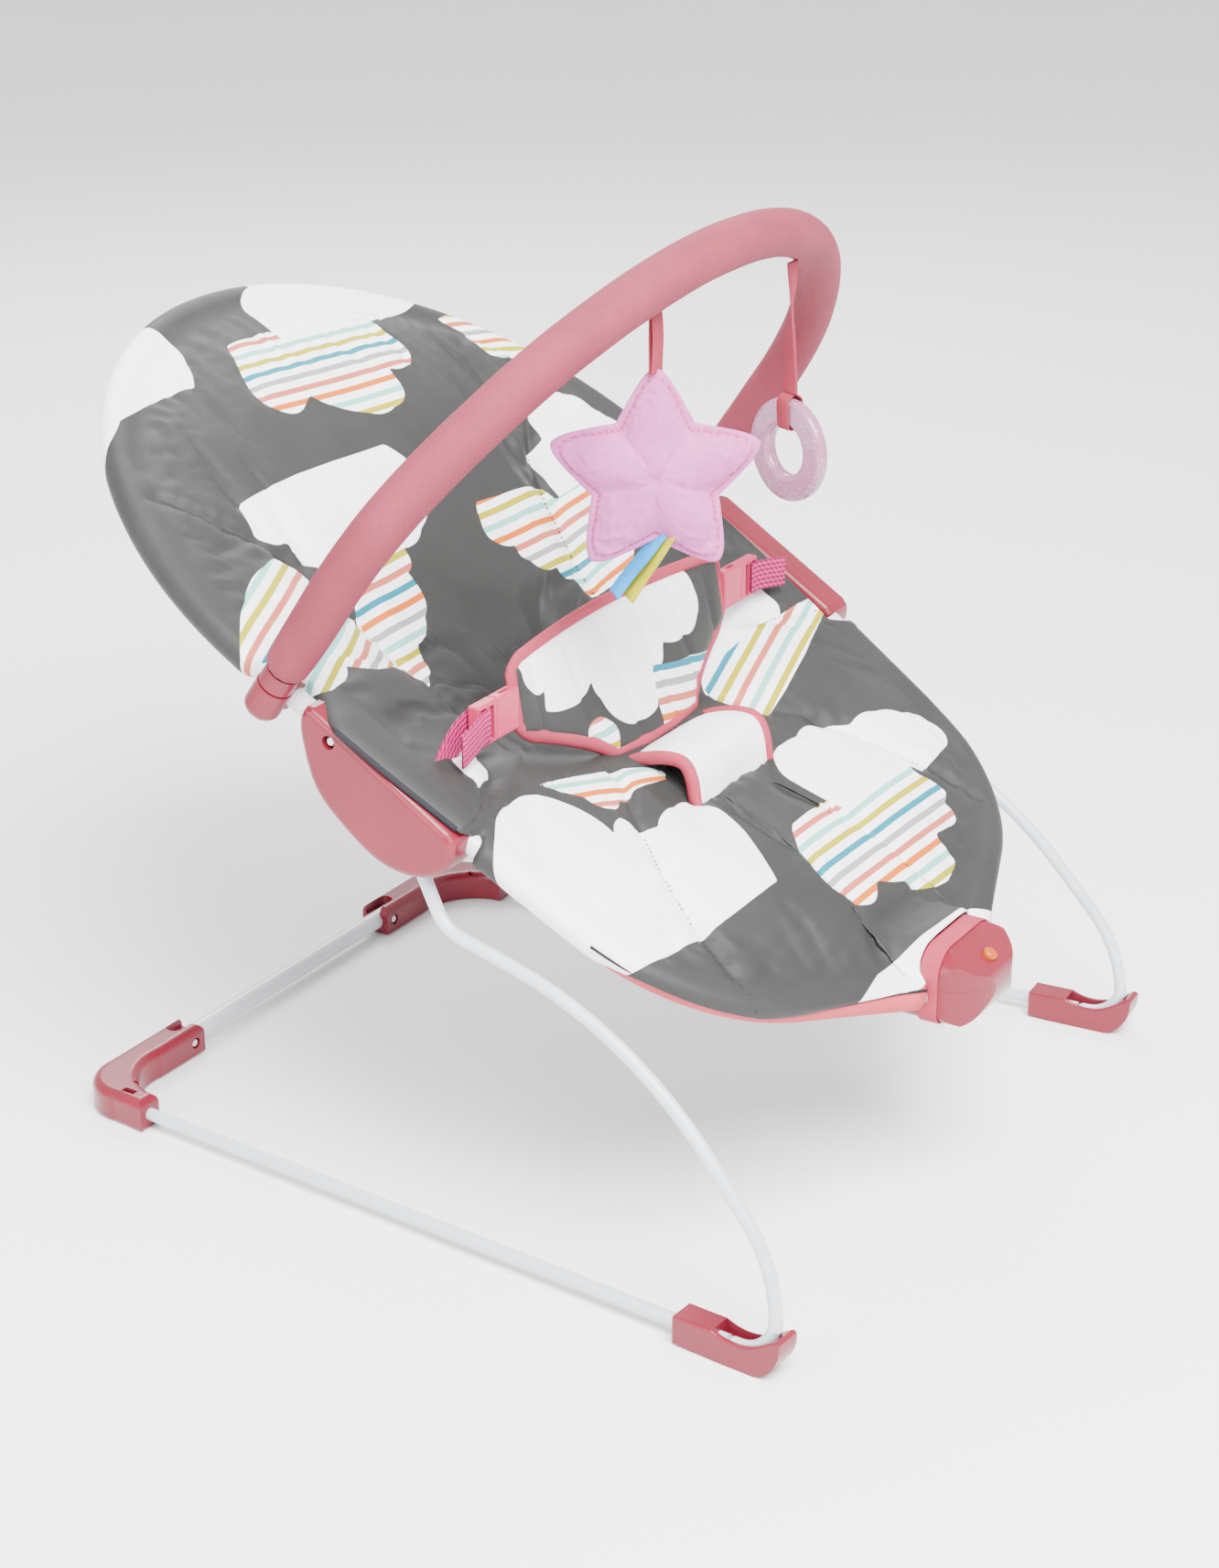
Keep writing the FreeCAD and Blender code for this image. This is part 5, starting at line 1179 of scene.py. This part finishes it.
def make_webbing():
    """Waist webbing: free tails through the tongues and the sewn ends behind them."""
    sewn_points = [
        (145.8, -18.7, 304), (157, -18.3, 304), (169, -18.6, 301.5), (178, -18.8, 296), (188, -18.9, 286),
    ]
    for side, word in ((1, "left"), (-1, "right")):
        low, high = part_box("waist_strap_tail_" + word)
        x, y, z = (low + high) / 2
        inner, outer = abs(x) - (high.x - low.x) / 2, abs(x) + (high.x - low.x) / 2
        points = [
            (inner, y, z), (inner + 0.008, y - 0.0006, z), (inner + 0.018, y - 0.0028, z - 0.001),
            (outer - 0.004, y - 0.0045, z - 0.003), (outer + 0.002, y - 0.005, z - 0.004),
        ]
        line = smooth_line([Vector((side * x, y, z)) for x, y, z in points])
        up = Vector((0, 0, 1))
        ways = (WEBBING_HALF, WEBBING_THICK, finish["webbing"], "buckle_" + word)
        tail = band_piece("webbing_tail_" + word, line, up, *ways)
        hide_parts("waist_strap_tail_" + word)
        line = smooth_line([Vector((side * x, y, z)) * MM for x, y, z in sewn_points])

        def way(index):
            ahead = heading(line, index)
            return Vector((-ahead.z * side, 0, ahead.x * side)).normalized()

        ways = (SEWN_HALF, SEWN_THICK, finish["webbing"], "seat")
        sewn = band_piece("webbing_anchor_" + word, line, way, *ways)
        if side > 0:
            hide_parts("waist_strap_anchors")


def make_star_tapes():
    """Folded tape that hangs the star from the bar, as its front and back layers."""
    low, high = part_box("star_strap")
    x, y = (low.x + high.x) / 2, (low.y + high.y) / 2
    top, bottom = high.z - 0.0022, low.z - 0.0025
    for name, way in (("star_tape_front", -1), ("star_tape_back", 1)):
        middle = (x + 0.0005, y + way * 0.0012, top * 0.6 + bottom * 0.4)
        points = [Vector((x, y + way * 0.0006, top)), Vector(middle), Vector((x, y + way * 0.0007, bottom))]
        ways = (TAPE_HALF, TAPE_THICK, finish["tape"], "star")
        tape = band_piece(name, smooth_line(points), Vector((1, 0, 0)), *ways)
        if way < 0:
            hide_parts("star_strap")


def make_teether_tapes():
    """Tape that hangs the ring from the bar, turning on its way, and its loop round the ring."""
    low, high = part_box("teether_strap")
    ring_low, ring_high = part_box("teether_ring")
    x, y = (ring_low.x + ring_high.x) / 2, (ring_low.y + ring_high.y) / 2
    ring_top = ring_high.z
    points = [
        (x, y, high.z - 0.0024), (x + 0.001, y, high.z - 0.020), (x - 0.001, y, high.z - 0.040),
        (x, y, ring_top + 0.012), (x, y, ring_top + 0.003),
    ]
    line = smooth_line([Vector(point) for point in points], 10)

    def way(index):
        share = min(index / (len(line) - 1) * 1.15, 1)
        a = radians(74) * share * share * (3 - 2 * share)
        return Vector((cos(a), sin(a), 0))

    folded = 2 * TAPE_THICK
    tape = band_piece("teether_tape", line, way, TAPE_HALF, folded, finish["tape"], "teether_strap")
    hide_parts("teether_strap")
    axis = Vector((cos(radians(-20)), sin(radians(-20)), 0))
    across = Vector((-axis.y, axis.x, 0))
    up, under = ring_top + 0.0022, low.z + 0.0008
    half_loop = [(-0.2, up + 0.0006), (-1, up - 0.003), (-1, up - 0.012), (-0.8, under + 0.001)]
    places = half_loop + [(0, under)] + [(-a, b) for a, b in reversed(half_loop)]
    line = smooth_line([Vector((x, y, b)) + axis * (a * 0.0056) for a, b in places], 6)
    ways = (LOOP_HALF, LOOP_THICK, finish["tape"], "teether_strap")
    loop = band_piece("teether_loop", line, across, *ways)


# ---------------------------------------------------------------- toys
STAR_X, STAR_Z, STAR_R, STAR_ROUND = -76.0, 442.0, 66.0, 4.6
STITCH_R, STAR_STITCH = 46.0, 3.4
star_across = Vector((cos(radians(-58)), sin(radians(-58)), 0))
star_face = star_across.cross(Vector((0, 0, 1)))


def star_radius(angle):
    """Outline of a star with rounded tips and open notches."""
    point = 2 * pi / 5
    turn = (angle - pi / 2) % point
    turn = min(turn, point - turn)
    tip, notch, cap = STAR_R * 1.09, STAR_R * 0.575, STAR_R * 0.95
    straight = tip * notch * sin(pi / 5) / (tip * sin(turn) + notch * sin(pi / 5 - turn))
    return -STAR_ROUND * log(exp(-straight / STAR_ROUND) + exp(-cap / STAR_ROUND))


def star_plan(offset):
    """Where points stand in the star's own face: across, up, angle and reach."""
    across, up = offset @ np.array(star_across), offset[..., 2]
    return across, up, np.arctan2(up, across), np.hypot(across, up)


def make_star():
    """Felt star: two faces sewn together inside a flat rim."""
    low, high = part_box("star_cushion")
    centre = Vector((STAR_X, (low.y + high.y) / 2 / MM, STAR_Z))
    around, rows = 130, 40
    half = rows // 2

    def stand(across, along):
        a = 2 * pi * across + pi / 2
        ring = along * rows
        share = ring / half if ring <= half else (rows - ring) / half
        face = 1 if ring <= half else -1
        radius = star_radius(a)
        reach = radius * share ** 0.8
        rim = min((radius - reach) / 5.0, 1.0)
        thick = 1.1 if rim < 0.9 else 1.1 + 6.5 * min((radius - reach - 4.5) / 16, 1) ** 0.55
        if share > 0.999:
            thick = 0.0
        flat = star_across * (reach * cos(a)) + Vector((0, 0, reach * sin(a)))
        return (centre + flat + star_face * (face * thick)) * MM

    shares = [[(i / around, j / rows) for j in range(rows + 1)] for i in range(around + 1)]
    layout = np.array(shares)
    solid = np.array([[stand(*share) for share in column] for column in shares])
    angle, reach = star_plan(solid / MM - np.array(centre))[2:]
    edge = np.vectorize(star_radius)(angle) - reach
    ways = {"pressure": 5.0, "cap": 0.012, "spare": 0.02, "stiff": 5.0, "bend": 0.3}
    solid = blown_grid("star_pattern", solid, layout, edge < 5.6, **ways)
    solid, layout, edge = finer_grid(solid), finer_grid(layout), finer_grid(edge)
    star = grid_piece("star_pad", solid, layout, {"edge": edge}, finish["felt"], "star")
    mesh = star.data
    co = vectors_of(mesh.vertices, "co") / MM - np.array(centre)
    across, up, angle = star_plan(co)[:3]
    edge = kept(mesh, "edge")
    line = np.exp(-((edge - 4.6) / 0.7) ** 2)
    dash = np.sin(angle * STITCH_R * 2 * pi / STAR_STITCH) > -0.25
    keep(mesh, "stitch", line * dash)
    places = zip(across / 9, up / 9, co[:, 1] / 20)
    crumple = np.array([noise.noise(Vector(place)) for place in places])
    move = crumple * 0.7 * np.clip((edge - 3) / 8, 0, 1) - 0.5 * line
    normal = vectors_of(mesh.vertex_normals, "vector")
    place_points(mesh, vectors_of(mesh.vertices, "co") + normal * (move * MM)[:, None])
    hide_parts("star_cushion")


def make_ribbons():
    """Two ribbons sewn under the star."""
    low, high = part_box("star_cushion")
    start = Vector((STAR_X * MM, (low.y + high.y) / 2, (STAR_Z - 33) * MM))
    for name, shift, slant in (("ribbon_blue", 4.0, -0.75), ("ribbon_yellow", 9.0, -0.62)):
        along = (star_across * slant + Vector((0, 0, -1))).normalized()
        wide = (star_across + Vector((0, 0, slant))).normalized()
        wide = Matrix.Rotation(radians(52), 3, along) @ wide
        base = start + star_across * (shift * MM) + star_face * (shift * 0.25 * MM)
        places = [(0, 0), (0.016, 0.0012), (0.032, -0.0006), (0.046, 0.0014)]
        line = smooth_line([base + along * run + star_face * wave for run, wave in places])
        piece = band_piece(name, line, wide, 0.0050, 0.0005, finish[name], "star", bevel=False)
        if name == "ribbon_blue":
            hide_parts("star_ribbons")


# ---------------------------------------------------------------- toy bar sleeve
BAR_LEAN = radians(35.0)
bar_up = Vector((0, -sin(BAR_LEAN), cos(BAR_LEAN)))
bar_out = Vector((0, -cos(BAR_LEAN), -sin(BAR_LEAN)))
CUP_X, SHOULDER_T, SHOULDER_R, BAR_RISE, CLIP_S = 241.0, 88.0, 130.0, 277.6, 71.0
SLEEVE_START, SLEEVE_R, ARCH_STEP = 21.3, 14.35, 6.0


def arch_points():
    """Even points along the arch, from the right socket over to the left one."""
    width, rise = CUP_X - SHOULDER_R, BAR_RISE - SHOULDER_T
    crown = (width ** 2 + rise ** 2 - SHOULDER_R ** 2) / (2 * (rise - SHOULDER_R))
    low = BAR_RISE - crown
    meet = atan2(SHOULDER_T - low, width)
    straight = SHOULDER_T - SLEEVE_START
    steps = int(straight / ARCH_STEP)
    flat = [(CUP_X, SLEEVE_START + straight * i / steps) for i in range(steps)]
    arcs = [(width, SHOULDER_T, SHOULDER_R, 0, meet), (0, low, crown, meet, pi / 2)]
    for x, t, radius, first, last in arcs:
        steps = int(radius * (last - first) / ARCH_STEP)
        angles = [first + (last - first) * i / steps for i in range(steps)]
        flat += [(x + radius * cos(a), t + radius * sin(a)) for a in angles]
    return flat + [(0, BAR_RISE)] + [(-x, t) for x, t in reversed(flat)]


def make_sleeve():
    """Knitted sleeve over foam, seamed along its underside and drawn in at both ends."""
    flat = arch_points()
    sides = 40
    rings, run = [], 0.0
    base = on_seat(0, CLIP_S, 0)
    line = [base + (Vector((x, 0, 0)) + bar_up * t) * MM for x, t in flat]
    for index, point in enumerate(line):
        if index:
            run += (point - line[index - 1]).length / MM
        inward = bar_out.cross(heading(line, index).normalized()).normalized()
        ends = min(index, len(line) - 1 - index)
        drawn = 1 - 0.14 * exp(-ends / 1.6) - 0.03 * exp(-ends / 12)
        ring = []
        for turn in range(sides):
            a = 2 * pi * turn / sides
            seam = exp(-((((a + pi) % (2 * pi)) - pi) / 0.16) ** 2)
            ripple = noise.noise(Vector((run / 26, cos(a) * 0.9, sin(a) * 0.9))) * 0.25
            pleat = 0.35 * sin(a * 11) * exp(-ends / 1.8)
            radius = (SLEEVE_R * drawn - 0.9 * seam + ripple + pleat) * MM
            ring.append(point + inward * (radius * cos(a)) + bar_out * (radius * sin(a)))
        rings.append(ring)
    made = bmesh.new()
    verts = skin(made, rings, lambda i, j: (j / sides * 0.09, i * ARCH_STEP * MM), ends=False)
    for ring in (verts[0], verts[-1]):
        edges = [made.edges.get((ring[k], ring[(k + 1) % sides])) for k in range(sides)]
        inner = bmesh.ops.extrude_edge_only(made, edges=edges)["geom"]
        inner = [v for v in inner if isinstance(v, bmesh.types.BMVert)]
        middle = sum((v.co for v in inner), Vector()) / sides
        for vert in inner:
            vert.co = middle + (vert.co - middle) * 0.48
    bmesh.ops.recalc_face_normals(made, faces=made.faces)
    sleeve = to_object("bar_sleeve", made, finish["sleeve"], "toy_bar")
    fine = sleeve.modifiers.new("fine", "SUBSURF")
    fine.levels = fine.render_levels = 1
    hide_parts("toy_bar_sleeve")


# ---------------------------------------------------------------- toe
def make_toe_band():
    """Pink binding round the vibration unit."""
    made = bmesh.new()
    made.from_mesh(nodes["toe_strap"].data)
    bmesh.ops.remove_doubles(made, verts=made.verts, dist=0.00002)
    binding = to_object("toe_binding", made, finish["binding"], "seat", smooth=False)
    soften(binding, 0.0005)
    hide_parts("toe_strap")


# ---------------------------------------------------------------- springs
button_sets = [
    ("crossbar_button_springs", "base", [
        ("crossbar_button_left", (0, 1, 0)), ("crossbar_button_right", (0, 1, 0)),
    ]),
    ("housing_button_springs", "seat", [
        ("head_tube_button_left", (-1, 0, 0)), ("head_tube_button_right", (1, 0, 0)),
        ("foot_tube_button_left", (1, 0, 0)), ("foot_tube_button_right", (-1, 0, 0)),
    ]),
]


def nearest(place, centres):
    gaps = [(place - centre).length for centre in centres]
    return gaps.index(min(gaps))


def make_button_springs():
    """One spring behind each snap button, split from the shared spring mesh."""
    for node, body, buttons in button_sets:
        centres = [sum(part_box(button), Vector()) / 2 for button, way in buttons]
        for index, (button, way) in enumerate(buttons):
            made = bmesh.new()
            made.from_mesh(nodes[node].data)
            far = [v for v in made.verts if nearest(v.co, centres) != index]
            bmesh.ops.delete(made, geom=far, context="VERTS")
            press = Vector(way)
            piece = to_object(button + "_spring", made, finish["steel"], body)
            if not index:
                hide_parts(node)
            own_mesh(piece)
            tuple(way)


# ---------------------------------------------------------------- build
def make_floor():
    made = bmesh.new()
    bmesh.ops.create_grid(made, x_segments=1, y_segments=1, size=6)
    mesh = bpy.data.meshes.new("floor")
    made.to_mesh(mesh)
    made.free()
    floor = bpy.data.objects.new("floor", mesh)
    bpy.context.collection.objects.link(floor)
    pale = Finish("floor_pale")
    grain = pale.speckle(3, 2)
    pale.set(Base_Color=pale.blend(grain, (0.90, 0.90, 0.90), (0.93, 0.93, 0.93)), Roughness=0.9)
    mesh.materials.append(pale.material)
    floor.location = (0, 0, -0.0002)


add_camera()
add_studio()
make_floor()
make_finishes()
finish_cad()
make_cover()
make_side_piping()
make_foot_hems()
make_panel()
make_crotch_strap()
make_webbing()
make_sleeve()
make_star_tapes()
make_teether_tapes()
make_star()
make_ribbons()
make_toe_band()
make_button_springs()
